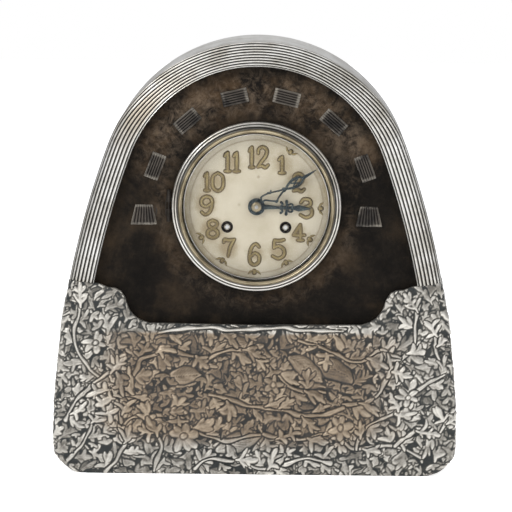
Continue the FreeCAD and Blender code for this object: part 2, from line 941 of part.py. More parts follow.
def makeBezel():
    bandFront = bezelBack - s.bezelBandHeight
    rim = turned("bezelRing", [
        (s.bezelBackInner, bezelBack),
        (s.bezelBackInner, bezelBack - s.bezelBackStep),
        (s.bezelWallInner, bezelBack - s.bezelBandHeight),
        (s.bezelWallInner, bezelFront),
        (s.bezelWallRadius, bezelFront),
        (s.bezelWallRadius, bandFront + s.bezelGroove),
        (s.bezelBandInner, bandFront),
        (s.bezelBandShoulder, bandFront),
        (s.bezelRadius, bezelBack - s.bezelBandFoot),
        (s.bezelRadius, bezelBack),
    ], zero, dialHeight)
    half = s.bezelKnuckleLength / 2
    low, high = dialHeight - half, dialHeight + half
    knuckle = post("bezelKnuckle", s.bezelKnuckleRadius, bezelHingeX, bezelHingeY, low, high)
    web = block("bezelWeb", (bezelHingeX, bezelHingeY - s.bezelPinRadius, low),
                (s.bezelPinRadius - s.bezelRadius, bezelBack - s.bezelClearance, high))
    hole = postBore("bezelBore", s.bezelPinRadius + s.pivotPlay, bezelHingeX, bezelHingeY,
                low - s.overrun, high + s.overrun)
    node(cutFrom("bezel", fused("bezelBlank", rim, knuckle, web), hole))
    node(turned("sight_ring", [
        (s.sightInner, bezelFront),
        (s.sightInner, bezelFront - s.sightInnerHeight),
        (s.sightCrown, bezelFront - s.sightHeight),
        (s.sightOuter, bezelFront - s.sightHeight / 2),
        (s.sightOuter, bezelFront),
    ], zero, dialHeight))
    edge = s.bezelWallInner - s.crystalPlay
    node(turned("crystal", [
        (zero, bezelFront),
        (edge - s.crystalBevel, bezelFront),
        (edge, bezelFront + s.crystalBevel),
        (edge, bezelFront + s.crystalThickness),
        (zero, bezelFront + s.crystalThickness),
    ], zero, dialHeight))


def makeBezelHinge():
    """Fixed leaf with two knuckles, and the pin through all three."""
    half = s.bezelKnuckleLength / 2 + s.bezelHingeGap
    reach = half + s.bezelKnuckleLength
    edge = bezelHingeX - s.bezelKnuckleRadius - s.bezelHingeGap
    leafFront = panelFront - s.bezelHingeLeafThickness
    low, high = dialHeight - reach, dialHeight + reach
    pieces = [block("bezelLeafPlate", (edge - s.bezelHingeLeafWidth, leafFront, low),
                    (edge, panelFront, high))]
    for side, start in (("Low", low), ("High", dialHeight + half)):
        end = start + s.bezelKnuckleLength
        pieces.append(post("leafKnuckle" + side, s.bezelKnuckleRadius, bezelHingeX, bezelHingeY,
                           start, end))
        pieces.append(block("leafNeck" + side, (edge - s.overrun, leafFront, start),
                            (bezelHingeX, panelFront, end)))
    hole = postBore("bezelLeafBore", s.bezelPinRadius, bezelHingeX, bezelHingeY,
                low - s.overrun, high + s.overrun)
    node(cutFrom("bezel_hinge_leaf", fused("bezelLeafBlank", *pieces), hole))
    node(post("bezel_hinge_pin", s.bezelPinRadius, bezelHingeX, bezelHingeY, low, high))


# hands, drawn pointing at twelve and turned to the time they show

hourBack = dialFront - s.hourHandGap
hourFront = hourBack - s.handThickness
minuteBack = hourFront - s.handGap
minuteFront = minuteBack - s.handThickness


def lens(low, high, width):
    """A pointed oval between two heights on the middle line."""
    rise = (high - low) / 2
    radius = (rise * rise + width * width / 4) / width
    return [(zero, low, radius, 1), (zero, high, radius, 1)]


def handBody(label, angle):
    body = newBody(label)
    body.Placement = FreeCAD.Placement(Vector(), FreeCAD.Rotation(Vector(0, 1, 0), 1))
    bind(body, Placement__Base__z=dialHeight, Placement__Rotation__Angle=angle)
    return body


def makeHourHand():
    """Ring boss, straight bar, a cross with round ends, and a spear."""
    body = handBody("hour_hand", s.hourAngle)
    addPad(body, [], hourBack, s.handThickness, [(zero, zero, s.hourBossRadius)])
    bar = s.hourBarWidth / 2
    cross = s.hourCrossDistance
    knob = s.hourCrossReach / 3
    addPad(body, [[(-bar, zero), (bar, zero), (bar / 2, cross), (-bar / 2, cross)]],
           hourBack, s.handThickness)
    for x in (-s.hourCrossReach + knob, s.hourCrossReach - knob):
        addPad(body, [], hourBack, s.handThickness, [(x, cross, knob)])
    arm = knob / 2
    reach = s.hourCrossReach - knob
    addPad(body, [[(-reach, cross - arm), (reach, cross - arm), (reach, cross + arm),
                   (-reach, cross + arm)]], hourBack, s.handThickness)
    addPad(body, [lens(cross - knob, s.hourHandLength, s.hourSpearWidth)],
           hourBack, s.handThickness)
    addBore(body, s.hourPipeRadius)
    return node(body)


def makeMinuteHand():
    """Ring boss, an open lyre of two thin strands, an open leaf, and a fine tip."""
    body = handBody("minute_hand", s.minuteAngle)
    addPad(body, [], minuteBack, s.handThickness, [(zero, zero, s.minuteBossRadius)])
    start = s.minuteBossRadius - s.minuteStrand
    end = start + s.minuteLyreLength
    strand = s.minuteStrand
    addPad(body, [lens(start, end, s.minuteLyreWidth),
                  lens(start + 2 * strand, end - 3 * strand, s.minuteLyreWidth - 2 * strand)],
           minuteBack, s.handThickness)
    leafEnd = s.minuteLeafStart + s.minuteLeafLength
    addPad(body, [lens(s.minuteLeafStart - strand, leafEnd, s.minuteLeafWidth),
                  lens(s.minuteLeafStart + strand, leafEnd - 2 * strand,
                       s.minuteLeafWidth - 2 * strand)], minuteBack, s.handThickness)
    tip = s.minuteTipWidth / 2
    low = end - 2 * strand
    addPad(body, [[(-tip, low), (tip, low), (tip, s.minuteLeafStart), (-tip, s.minuteLeafStart)]],
           minuteBack, s.handThickness)
    addPad(body, [[(-tip, leafEnd - strand), (tip, leafEnd - strand),
                   (zero, s.minuteHandLength)]], minuteBack, s.handThickness)
    addBore(body, s.cannonPipeRadius)
    return node(body)


def addBore(body, radius):
    """A hole through a hand at its own axis."""
    doc.recompute()
    sketch = sketchOn(body, "XZ_Plane")
    circle(sketch, zero, zero, radius)
    pocket = body.newObject("PartDesign::Pocket", body.Name + "Bore")
    pocket.Profile = sketch
    pocket.Midplane = True
    bind(pocket, Length=2 * s.caseDepth)


def makeCollet():
    """Domed brass washer that holds the minute hand on its arbor."""
    return node(turned("hand_collet", [
        (s.arborTip, minuteFront),
        (s.arborTip, minuteFront - s.colletThickness),
        (s.colletRadius / 2, minuteFront - s.colletThickness),
        (s.colletRadius, minuteFront),
    ], zero, dialHeight))


# toothed wheels: flat polygons with one tooth repeated, extruded along Y


def discShape(points, x, z, front, back):
    outline = [Vector(x + px, front, z + pz) for px, pz in points]
    face = Part.Face(Part.makePolygon(outline + outline[:1]))
    return face.extrude(Vector(0, back - front, 0))


def toothed(label, teeth, tipRadius, rootRadius, tipShare, place, planes, phase,
            windows=0, rakeShare=0):
    """A wheel whose valleys are sharp and whose tips take a share of the pitch."""
    count = int(teeth.value)
    pitch = 2 * math.pi / count
    points = []
    for tooth in range(count):
        middle = phase + pitch * tooth
        tip = middle + rakeShare * pitch
        corners = [(rootRadius.value, middle - pitch / 2)]
        ends = (tip - tipShare * pitch / 2, tip + tipShare * pitch / 2) if tipShare else (tip,)
        corners += [(tipRadius.value, angle) for angle in ends]
        points += [(radius * math.cos(angle), radius * math.sin(angle)) for radius, angle in corners]
    x, z = place[0].value, place[1].value
    front, back = planes[0].value, planes[1].value
    shape = discShape(points, x, z, front, back)
    if windows:
        shape = shape.cut(windowShape(windows, rootRadius.value, x, z, front, back))
    return shaped(label, shape)


# how far a ratchet's or the escape wheel's tips lean, as a share of the pitch
rakeShare = 0.35
spokes = 5
hubShare = 0.3
rimShare = 0.86
spokeShare = 0.16


def windowShape(count, radius, x, z, front, back):
    """The openings between the spokes of a crossed-out wheel."""
    pieces = []
    for window in range(count):
        low = 2 * math.pi * (window + spokeShare) / count
        high = 2 * math.pi * (window + 1 - spokeShare) / count
        points = []
        for share, ends in ((hubShare, (high, low)), (rimShare, (low, (low + high) / 2, high))):
            for angle in ends:
                points.append((radius * share * math.cos(angle), radius * share * math.sin(angle)))
        pieces.append(discShape(points, x, z, front - s.overrun.value, back + s.overrun.value))
    return pieces[0].multiFuse(pieces[1:]) if len(pieces) > 1 else pieces[0]


# shares of the module: how far a tooth stands above and below the pitch circle
wheelTipShare = 0.9
wheelRootShare = 1.25
leafTipShare = 0.55
leafRootShare = 1.35
# share of the pitch that a pinion's leaf takes at its tip
leafShare = 0.2


def wheel(label, teeth, module, place, planes, toward, windows=0):
    """A wheel with one tooth on the line towards its pinion."""
    radius = teeth * module / 2
    return toothed(label, teeth, radius + module * wheelTipShare, radius - module * wheelRootShare,
                   0, place, planes, toward, windows)


def pinion(label, teeth, module, place, planes, toward):
    """A pinion with a gap on the line towards its wheel."""
    radius = teeth * module / 2
    phase = toward + math.pi / int(teeth.value)
    return toothed(label, teeth, radius + module * leafTipShare, radius - module * leafRootShare,
                   leafShare, place, planes, phase)


def bearing(start, end):
    """Angle of the line from one arbor to another."""
    return math.atan2(end[1].value - start[1].value, end[0].value - start[0].value)


def arborParts(label, place, front=None, back=None):
    """An arbor between the plates with a thinner pivot through both of them."""
    x, z = place
    return [
        rod(label + "Arbor", s.arborRadius, x, z, frontPlateBack + s.endShake,
            backPlateFront - s.endShake),
        rod(label + "Pivots", s.pivotRadius, x, z, front or frontPlateFront,
            back or backPlateBack),
    ]


def planesAt(start, thickness):
    return (start, start + thickness)


def widened(planes, extra):
    return (planes[0] - extra, planes[1] + extra)


# places of the arbors, seen from the front

centrePlace = (zero, dialHeight)
goingPlace = (s.windingSpread, windingHeight)
strikePlace = (-s.windingSpread, windingHeight)
greatDistance = root(s.windingSpread * s.windingSpread + s.windingDrop * s.windingDrop)
greatModule = 2 * greatDistance / (s.greatTeeth + s.greatPinionTeeth)
thirdDistance = (s.centreTeeth + s.thirdPinionTeeth) * s.centreModule / 2
thirdRise = root(thirdDistance * thirdDistance - s.thirdX * s.thirdX)
thirdPlace = (s.thirdX, dialHeight + thirdRise)
escapeDistance = (s.thirdTeeth + s.escapePinionTeeth) * s.thirdModule / 2
escapeRise = root(escapeDistance * escapeDistance - s.thirdX * s.thirdX)
escapePlace = (zero, thirdPlace[1] + escapeRise)
anchorPlace = (zero, escapePlace[1] + s.anchorRise)
motionDistance = (s.cannonTeeth + s.minuteWheelTeeth) * s.motionModuleFirst / 2
motionModuleSecond = 2 * motionDistance / (s.minutePinionTeeth + s.hourWheelTeeth)
motionPlace = (motionDistance * cosine(s.motionAngle), dialHeight + motionDistance * sine(s.motionAngle))


def placeFrom(start, distance, angle):
    return (start[0] + distance * cosine(angle), start[1] + distance * sine(angle))


pinPlace = placeFrom(strikePlace, greatDistance, s.pinWheelAngle)
lockDistance = (s.pinWheelTeeth + s.lockPinionTeeth) * s.pinWheelModule / 2
lockPlace = placeFrom(pinPlace, lockDistance, s.lockAngle)
flyDistance = (s.lockTeeth + s.flyPinionTeeth) * s.lockModule / 2
flyPlace = placeFrom(lockPlace, flyDistance, s.flyAngle)
hammerPlace = (-s.hammerX, dialHeight + s.hammerRise)

# planes of the wheels

goingFront = frontPlateBack + s.barrelEndGap
goingFlange = planesAt(goingFront + s.barrelLength, s.greatWheelThickness)
strikeFlange = planesAt(goingFront, s.greatWheelThickness)
strikeDrum = planesAt(strikeFlange[1], s.barrelLength)
centrePlanes = planesAt(frontPlateBack + s.centreWheelGap, s.wheelThickness)
thirdPlanes = planesAt(frontPlateBack + s.thirdPlane, s.wheelThickness)
escapePlanes = planesAt(frontPlateBack + s.escapePlane, s.wheelThickness)
pinPlanes = planesAt(frontPlateBack + s.pinWheelPlane, s.wheelThickness)
lockPlanes = planesAt(frontPlateBack + s.lockPlane, s.wheelThickness)
motionFirst = planesAt(frontPlateFront - s.motionGap - s.wheelThickness, s.wheelThickness)
motionSecond = planesAt(motionFirst[0] - s.motionGap - s.wheelThickness, s.wheelThickness)
ratchetPlanes = planesAt(frontPlateFront - s.ratchetGap - s.ratchetThickness, s.ratchetThickness)


# movement frame


def plateOutline():
    low = dialHeight - s.plateDrop
    high = dialHeight + s.plateRise
    x, c = s.plateHalfWidth, s.plateCorner
    return [
        (x - c, low), (x, low + c), (x, high - c), (x - c, high),
        (-x + c, high), (-x, high - c), (-x, low + c), (-x + c, low),
    ]


def pierced(label, back, holes):
    """A plate of the movement with its pivot holes."""
    front = back - s.plateThickness
    blank = padded(label + "_blank", [plateOutline()], back, s.plateThickness)
    bores = [bore(f"{label}_hole{count}", radius, x, z, front, back)
             for count, ((x, z), radius) in enumerate(holes)]
    return node(cutFrom(label, blank, grouped(label + "_holes", *bores)))


def makePlates():
    pivotHole = s.pivotRadius + s.pivotPlay
    windingHole = s.windingArborRadius + s.pivotPlay
    places = [thirdPlace, escapePlace, anchorPlace, pinPlace, lockPlace, flyPlace, hammerPlace]
    holes = [(place, pivotHole) for place in places]
    holes += [(place, windingHole) for place in (goingPlace, strikePlace)]
    front = holes + [(centrePlace, s.centreArborRadius + s.pivotPlay)]
    pierced("movement_front_plate", frontPlateBack, front)
    pierced("movement_back_plate", backPlateBack, holes + [(centrePlace, pivotHole)])
    low, high = dialHeight - s.pillarLow, dialHeight + s.pillarHigh
    pillars, spacers = [], []
    corners = [(s.pillarX, low), (-s.pillarX, low), (s.pillarX, high), (-s.pillarX, high)]
    for count, (x, z) in enumerate(corners):
        pillars.append(rod(f"pillar{count}", s.pillarRadius, x, z, frontPlateBack, backPlateFront))
        spacers.append(rod(f"spacer{count}", s.spacerRadius, x, z, shellFront, frontPlateFront))
    node(grouped("plate_pillars", *pillars))
    node(grouped("movement_spacers", *spacers))


# going train and motion work


def windingArbor(label, place):
    """Winding arbor with its square towards the dial and its ratchet wheel before the plate."""
    x, z = place
    half = s.windingSquare / 2
    tip = dialFront - s.windingTip
    ratchet = toothed(label + "Ratchet", s.ratchetTeeth, s.ratchetRadius,
                      s.ratchetRadius - s.ratchetToothDepth, 0, place, ratchetPlanes, 0, 0, rakeShare)
    return node(fused(
        label,
        rod(label + "Shaft", s.windingArborRadius, x, z, ratchetPlanes[0], backPlateBack),
        block(label + "Square", (x - half, tip, z - half), (x + half, ratchetPlanes[0], z + half)),
        ratchet,
    ))


def makeGoingBarrel():
    x, z = goingPlace
    barrel = drum("goingDrum", s.barrelRadius, x, z, goingFront, goingFlange[0])
    teeth = wheel("goingTeeth", s.greatTeeth, greatModule, goingPlace, goingFlange,
                  bearing(goingPlace, centrePlace))
    hole = bore("goingBore", s.windingArborRadius + s.pivotPlay, x, z, goingFront - s.overrun,
               goingFlange[1] + s.overrun)
    return node(cutFrom("going_barrel", fused("goingBlank", barrel, teeth), hole))


def makeCentreArbor():
    """Centre arbor that carries the centre wheel, its pinion and the hands."""
    x, z = centrePlace
    tip = minuteFront - s.colletThickness - s.arborTip
    parts = arborParts("centre", centrePlace, frontPlateFront)
    parts.append(rod("centreFront", s.arborTip, x, z, tip, frontPlateBack))
    parts.append(rod("centreNeck", s.centreArborRadius, x, z, frontPlateFront,
                     backPlateFront - s.endShake))
    parts.append(wheel("centreTeeth", s.centreTeeth, s.centreModule, centrePlace, centrePlanes,
                       bearing(centrePlace, thirdPlace), spokes))
    parts.append(pinion("centreLeaves", s.greatPinionTeeth, greatModule, centrePlace,
                        widened(goingFlange, s.pinionOverhang), bearing(centrePlace, goingPlace)))
    return node(fused("centre_arbor", *parts))


def makeThirdWheel():
    parts = arborParts("third", thirdPlace)
    leaves = (frontPlateBack + s.endShake, centrePlanes[1] + s.pinionOverhang)
    parts.append(pinion("thirdLeaves", s.thirdPinionTeeth, s.centreModule, thirdPlace, leaves,
                        bearing(thirdPlace, centrePlace)))
    parts.append(wheel("thirdTeeth", s.thirdTeeth, s.thirdModule, thirdPlace, thirdPlanes,
                       bearing(thirdPlace, escapePlace), spokes))
    return node(fused("third_wheel", *parts))


def makeEscapeWheel():
    parts = arborParts("escape", escapePlace)
    parts.append(pinion("escapeLeaves", s.escapePinionTeeth, s.thirdModule, escapePlace,
                        widened(thirdPlanes, s.pinionOverhang), bearing(escapePlace, thirdPlace)))
    parts.append(toothed("escapeTeeth", s.escapeTeeth, s.escapeRadius,
                         s.escapeRadius - s.escapeToothDepth, 0, escapePlace, escapePlanes,
                         0, spokes, rakeShare))
    return node(fused("escape_wheel", *parts))


def makeAnchor():
    """Recoil anchor over the escape wheel. Its pallets swing clear of the tooth tips."""
    x, z = anchorPlace
    spread = s.anchorSpread
    reach = s.escapeRadius + s.palletClearance + spread * sine(s.pendulumSwingAngle)
    drop = s.anchorRise - root(reach * reach - (spread - s.anchorArm) * (spread - s.anchorArm))
    outline = [
        (zero, z + s.anchorArm),
        (-s.anchorArm, z + s.anchorArm / 2),
        (-spread, z - drop + s.anchorArm / 2),
        (-spread, z - drop),
        (s.anchorArm - spread, z - drop),
        (s.anchorArm - spread, z - drop + s.anchorArm),
        (zero, z - s.anchorArm),
        (spread - s.anchorArm, z - drop + s.anchorArm),
        (spread - s.anchorArm, z - drop),
        (spread, z - drop),
        (spread, z - drop + s.anchorArm / 2),
        (s.anchorArm, z + s.anchorArm / 2),
    ]
    planes = escapePlanes
    body = padded("anchorBody", [outline], planes[1], s.wheelThickness)
    back = backPlateBack + s.crutchGap + s.crutchThickness
    return node(fused("anchor", body, *arborParts("anchor", anchorPlace, None, back)))


def makeCrutch():
    """Arm behind the back plate, its fork round the pendulum rod."""
    x, z = anchorPlace
    front = backPlateBack + s.crutchGap
    back = front + s.crutchThickness
    half = s.crutchWidth / 2
    low = z - s.crutchLength
    inner = s.rodRadius + s.crutchPlay
    outer = inner + s.crutchThickness
    reach = s.suspensionY + s.rodRadius + s.crutchPlay
    prong = s.crutchProng / 2
    parts = [
        rod("crutchHub", s.crutchWidth * 2 / 3, x, z, front, back),
        block("crutchArm", (-half, front, low), (half, back, z)),
        block("crutchBar", (-outer, front, low - prong), (outer, back, low + prong)),
        block("prongRight", (inner, front, low - prong), (outer, reach, low + prong)),
        block("prongLeft", (-outer, front, low - prong), (-inner, reach, low + prong)),
    ]
    hole = bore("crutchBore", s.pivotRadius, x, z, front - s.overrun, back + s.overrun)
    return node(cutFrom("crutch", fused("crutchBlank", *parts), hole))


def makeMotionWork():
    x, z = centrePlace
    cannon = fused(
        "cannonBlank",
        pinion("cannonLeaves", s.cannonTeeth, s.motionModuleFirst, centrePlace, motionFirst,
               bearing(centrePlace, motionPlace)),
        rod("cannonPipe", s.cannonPipeRadius, x, z, minuteFront, motionFirst[1]),
    )
    hole = bore("cannonBore", s.arborTip, x, z, minuteFront - s.overrun, motionFirst[1] + s.overrun)
    node(cutFrom("cannon_pinion", cannon, hole))
    hour = fused(
        "hourBlank",
        wheel("hourTeeth", s.hourWheelTeeth, motionModuleSecond, centrePlace, motionSecond,
              bearing(centrePlace, motionPlace)),
        rod("hourPipe", s.hourPipeRadius, x, z, hourFront, motionSecond[1]),
    )
    hole = bore("hourBore", s.cannonPipeRadius + s.pivotPlay, x, z, hourFront - s.overrun,
               motionSecond[1] + s.overrun)
    node(cutFrom("hour_wheel", hour, hole))
    x, z = motionPlace
    minute = fused(
        "minuteBlank",
        wheel("minuteTeeth", s.minuteWheelTeeth, s.motionModuleFirst, motionPlace, motionFirst,
              bearing(motionPlace, centrePlace)),
        pinion("minuteLeaves", s.minutePinionTeeth, motionModuleSecond, motionPlace,
               (motionSecond[0], motionFirst[0]), bearing(motionPlace, centrePlace)),
    )
    hole = bore("minuteBore", s.studRadius + s.pivotPlay, x, z, motionSecond[0] - s.overrun,
               motionFirst[1] + s.overrun)
    node(cutFrom("minute_wheel", minute, hole))
    node(rod("minute_wheel_stud", s.studRadius, x, z, motionSecond[0] - s.endShake,
             frontPlateFront))


# strike train


def makeStrikeBarrel():
    """Barrel with its great wheel in front and the count wheel behind."""
    x, z = strikePlace
    barrel = drum("strikeDrum", s.barrelRadius, x, z, strikeDrum[0], strikeDrum[1])
    teeth = wheel("strikeTeeth", s.greatTeeth, greatModule, strikePlace, strikeFlange,
                  bearing(strikePlace, pinPlace))
    back = strikeDrum[1] + s.countWheelThickness
    disc = drum("countDisc", s.countWheelRadius, x, z, strikeDrum[1], back)
    notched = cutFrom("countWheel", disc, countNotches(x, z, strikeDrum[1], back))
    hole = bore("strikeBore", s.windingArborRadius + s.pivotPlay, x, z,
               strikeFlange[0] - s.overrun, back + s.overrun)
    return node(cutFrom("strike_barrel", fused("strikeBlank", barrel, teeth, notched), hole))


def countNotches(x, z, front, back):
    """Notches of the count wheel: after each hour's strokes and after each half hour's one."""
    blows = sum(range(1, 13)) + 12
    radius = s.countWheelRadius.value
    half = s.countNotchWidth.value / 2
    floor = radius - s.countNotchDepth.value
    extra = s.overrun.value
    pieces, total = [], 0
    for hour in range(1, 13):
        total += hour + 1
        notch = Part.makeBox(2 * half, back.value - front.value + 2 * extra, radius)
        notch.Placement = FreeCAD.Placement(
            Vector(x.value, front.value - extra, z.value),
            FreeCAD.Rotation(Vector(0, 1, 0), 360 * total / blows),
            Vector(0, 0, 0)) * FreeCAD.Placement(Vector(-half, 0, floor), FreeCAD.Rotation())
        pieces.append(notch)
    return shaped("countNotches", Part.makeCompound(pieces))


def makePinWheel():
    parts = arborParts("pinWheel", pinPlace)
    parts.append(pinion("pinLeaves", s.greatPinionTeeth, greatModule, pinPlace,
                        widened(strikeFlange, s.pinionOverhang), bearing(pinPlace, strikePlace)))
    parts.append(wheel("pinTeeth", s.pinWheelTeeth, s.pinWheelModule, pinPlace, pinPlanes,
                       bearing(pinPlace, lockPlace)))
    for pin in range(int(s.liftPinCount.value)):
        angle = pin * Size("360", 360) / s.liftPinCount
        px, pz = placeFrom(pinPlace, s.liftPinCircle, angle)
        parts.append(rod(f"liftPin{pin}", s.liftPinRadius, px, pz, pinPlanes[0],
                         pinPlanes[1] + s.liftPinLength))
    return node(fused("pin_wheel", *parts))


def makeLockWheel():
    parts = arborParts("lock", lockPlace)
    parts.append(pinion("lockLeaves", s.lockPinionTeeth, s.pinWheelModule, lockPlace,
                        widened(pinPlanes, s.pinionOverhang), bearing(lockPlace, pinPlace)))
    parts.append(wheel("lockTeeth", s.lockTeeth, s.lockModule, lockPlace, lockPlanes,
                       bearing(lockPlace, flyPlace), spokes))
    return node(fused("locking_wheel", *parts))


def makeFly():
    """Fan with two flat blades that slows the strike."""
    x, z = flyPlace
    front = frontPlateBack + s.flyGap
    half = s.flyThickness / 2
    parts = arborParts("fly", flyPlace)
    parts.append(pinion("flyLeaves", s.flyPinionTeeth, s.lockModule, flyPlace,
                        widened(lockPlanes, s.pinionOverhang), bearing(flyPlace, lockPlace)))
    parts.append(block("flyBlades", (x - s.flyWidth / 2, front, z - half),
                       (x + s.flyWidth / 2, front + s.flyLength, z + half)))
    return node(fused("fly", *parts))


def leaning(label, radius, place, y, length, angle):
    """A thin rod from an arbor outwards at an angle above +X."""
    item = doc.addObject("Part::Prism", label)
    item.Placement = FreeCAD.Placement(Vector(), FreeCAD.Rotation(Vector(0, 1, 0), 1))
    bind(item, Polygon=s.rodSideCount, Circumradius=radius, Height=length)
    bind(item, Placement__Base__x=place[0], Placement__Base__y=y, Placement__Base__z=place[1],
         Placement__Rotation__Angle=s.quarterTurnAngle - angle)
    return item


def makeHammer():
    """Hammer on its own arbor: a short tail at the pins, a stem behind, a head beside the gong."""
    x, z = hammerPlace
    tailFront = pinPlanes[1] + s.tailGap
    lean = -(s.quarterTurnAngle + s.hammerLeanAngle)
    headX, headZ = placeFrom(hammerPlace, s.hammerStem, lean)
    hub = 2 * s.hammerStemRadius
    parts = arborParts("hammer", hammerPlace, None, s.hammerY)
    parts += [
        block("hammerTail", (x, tailFront, z - s.hammerTailWidth / 2),
              (x + s.hammerTail, tailFront + s.hammerTailWidth, z + s.hammerTailWidth / 2)),
        rod("hammerHub", hub, x, z, s.hammerY - hub, s.hammerY + hub),
        leaning("hammerStem", s.hammerStemRadius, hammerPlace, s.hammerY, s.hammerStem, lean),
        rod("hammerHead", s.hammerHeadRadius, headX, headZ, s.hammerY - hub,
            s.gongY + s.hammerHeadRadius),
    ]
    return node(fused("hammer", *parts))


def makeGong():
    """Coil gong of flat wire: half turns whose radius shrinks, its end let into an iron post."""
    centre = dialHeight - s.gongDrop
    height = centre.value
    postTop = centre - s.gongTail
    radius = s.gongRadius.value
    step = s.gongPitch.value / 2
    foot = postTop.value
    y = s.gongY.value
    edges = [Part.LineSegment(Vector(radius, y, foot), Vector(radius, y, height)).toShape()]
    shift = 0
    for turn in range(2 * int(s.gongTurnCount.value)):
        side = 1 if turn % 2 == 0 else -1
        start = Vector(shift + side * radius, y, height)
        end = Vector(shift - side * radius, y, height)
        top = Vector(shift, y, height + side * radius)
        edges.append(Part.Arc(start, top, end).toShape())
        radius -= step / 2
        shift -= side * step / 2
    half = s.gongWidth.value / 2
    depth = s.gongThickness.value / 2
    outer = s.gongRadius.value
    section = Part.makePolygon([
        Vector(outer - half, y - depth, foot), Vector(outer + half, y - depth, foot),
        Vector(outer + half, y + depth, foot), Vector(outer - half, y + depth, foot),
        Vector(outer - half, y - depth, foot)])
    node(shaped("gong_coil", Part.Wire(edges).makePipeShell([section], True, False)))
    x = s.gongRadius
    half = s.gongPost / 2
    node(fused(
        "gong_post",
        block("gongPillar", (x - half, s.gongY - half, s.cornerRadius),
              (x + half, s.gongY + half, postTop)),
        block("gongFoot", (x - s.gongPost, s.gongY - s.gongPost, s.cornerRadius),
              (x + s.gongPost, s.gongY + half, s.cornerRadius + half)),
    ))


# clicks on the front plate


def clickPivot(place):
    return placeFrom(place, s.clickDistance, -s.clickAngle)


def makeClick(label, place):
    """Pawl beside a ratchet wheel, its beak just clear of the tooth tips."""
    x, z = clickPivot(place)
    beak = placeFrom(place, s.ratchetRadius + s.clickClearance, s.clickBeakAngle - s.clickAngle)
    away = placeFrom(beak, s.clickBeakWidth, s.clickBeakAngle - s.clickAngle)
    hub = placeFrom((x, z), s.clickHubRadius, s.clickBeakAngle - s.clickAngle)
    arm = padded(label + "Arm", [[(x, z), hub, away, beak]], ratchetPlanes[1], s.ratchetThickness)
    body = fused(label + "Blank", arm,
                 rod(label + "Hub", s.clickHubRadius, x, z, ratchetPlanes[0], ratchetPlanes[1]))
    hole = bore(label + "Bore", s.clickPivotRadius + s.pivotPlay, x, z,
               ratchetPlanes[0] - s.overrun, ratchetPlanes[1] + s.overrun)
    return node(cutFrom(label, body, hole))


def makeClickStuds():
    studs = []
    for side, place in (("Going", goingPlace), ("Strike", strikePlace)):
        x, z = clickPivot(place)
        studs.append(rod("clickStud" + side, s.clickPivotRadius, x, z,
                         ratchetPlanes[0] - s.endShake, frontPlateFront))
    return node(grouped("click_studs", *studs))


# suspension and pendulum


def makeSuspension():
    """Slotted cock on the back plate. The spring and the rod hang from its slot."""
    z = anchorPlace[1]
    half = s.cockWidth / 2
    low = z + s.cockClear
    back = s.suspensionY + s.springWidth
    body = block("cockBody", (-half, backPlateBack, low), (half, back, low + s.cockHeight))
    slot = block("cockSlotCut", (-s.cockSlot / 2, s.suspensionY - s.springWidth, low - s.overrun),
                 (s.cockSlot / 2, back + s.overrun, low + s.cockSlotHeight))
    return node(cutFrom("suspension_cock", body, slot))


def makePendulum():
    z = anchorPlace[1]
    bobZ = s.cornerRadius + s.bobLift
    half = s.springThickness / 2
    depth = s.springWidth / 2
    top = z - s.springDrop
    strip = block("springStrip", (-half, s.suspensionY - depth, top - s.overrun),
                  (half, s.suspensionY + depth, z + s.cockClear + s.springRise))
    stem = post("pendulumStem", s.rodRadius, zero, s.suspensionY, bobZ - s.bobRadius - s.rodTail, top)
    node(fused("pendulum_rod", strip, stem))
    rim = s.bobThickness / 2 - s.bobRim
    bob = turned("bobBlank", [
        (zero, s.suspensionY - s.bobThickness / 2),
        (s.bobRadius, s.suspensionY - rim),
        (s.bobRadius, s.suspensionY + rim),
        (zero, s.suspensionY + s.bobThickness / 2),
    ], zero, bobZ)
    hole = postBore("bobBore", s.rodRadius + s.pivotPlay, zero, s.suspensionY,
                bobZ - s.bobRadius - s.overrun, bobZ + s.bobRadius + s.overrun)
    node(cutFrom("pendulum_bob", bob, hole))
    low = bobZ - s.bobRadius - s.nutHeight
    nut = post("nutBlank", s.nutRadius, zero, s.suspensionY, low, low + s.nutHeight)
    thread = postBore("nutBore", s.rodRadius, zero, s.suspensionY, low - s.overrun,
                  low + s.nutHeight + s.overrun)
    node(cutFrom("rating_nut", nut, thread))


# back board, door, hinges and catch


def doorOutline(gap):
    """Arched door or its opening, grown by a gap."""
    x = s.doorHalfWidth + gap
    return [
        (-x, s.doorFoot - gap),
        (x, s.doorFoot - gap),
        (x, doorSpring, x, 1),
        (zero, doorSpring + x, x, 1),
        (-x, doorSpring),
    ]


def makeBackBoard():
    loops = [fullOutline(skin), doorOutline(s.doorGap)]
    return node(padded("back_board", loops, caseBack, s.backBoardThickness))


knobX = -(s.doorHalfWidth - s.knobInset)
hingeX = s.doorHalfWidth + s.doorGap / 2
hingeY = caseBack + s.hingeKnuckleRadius + s.pivotPlay


def makeDoor():
    blank = padded("doorBlank", [doorOutline(zero)], caseBack, s.backBoardThickness)
    hole = bore("knobBore", s.spindleRadius + s.pivotPlay, knobX, s.knobHeight,
               shellBack - s.overrun, caseBack + s.overrun)
    return node(cutFrom("back_door", blank, hole))


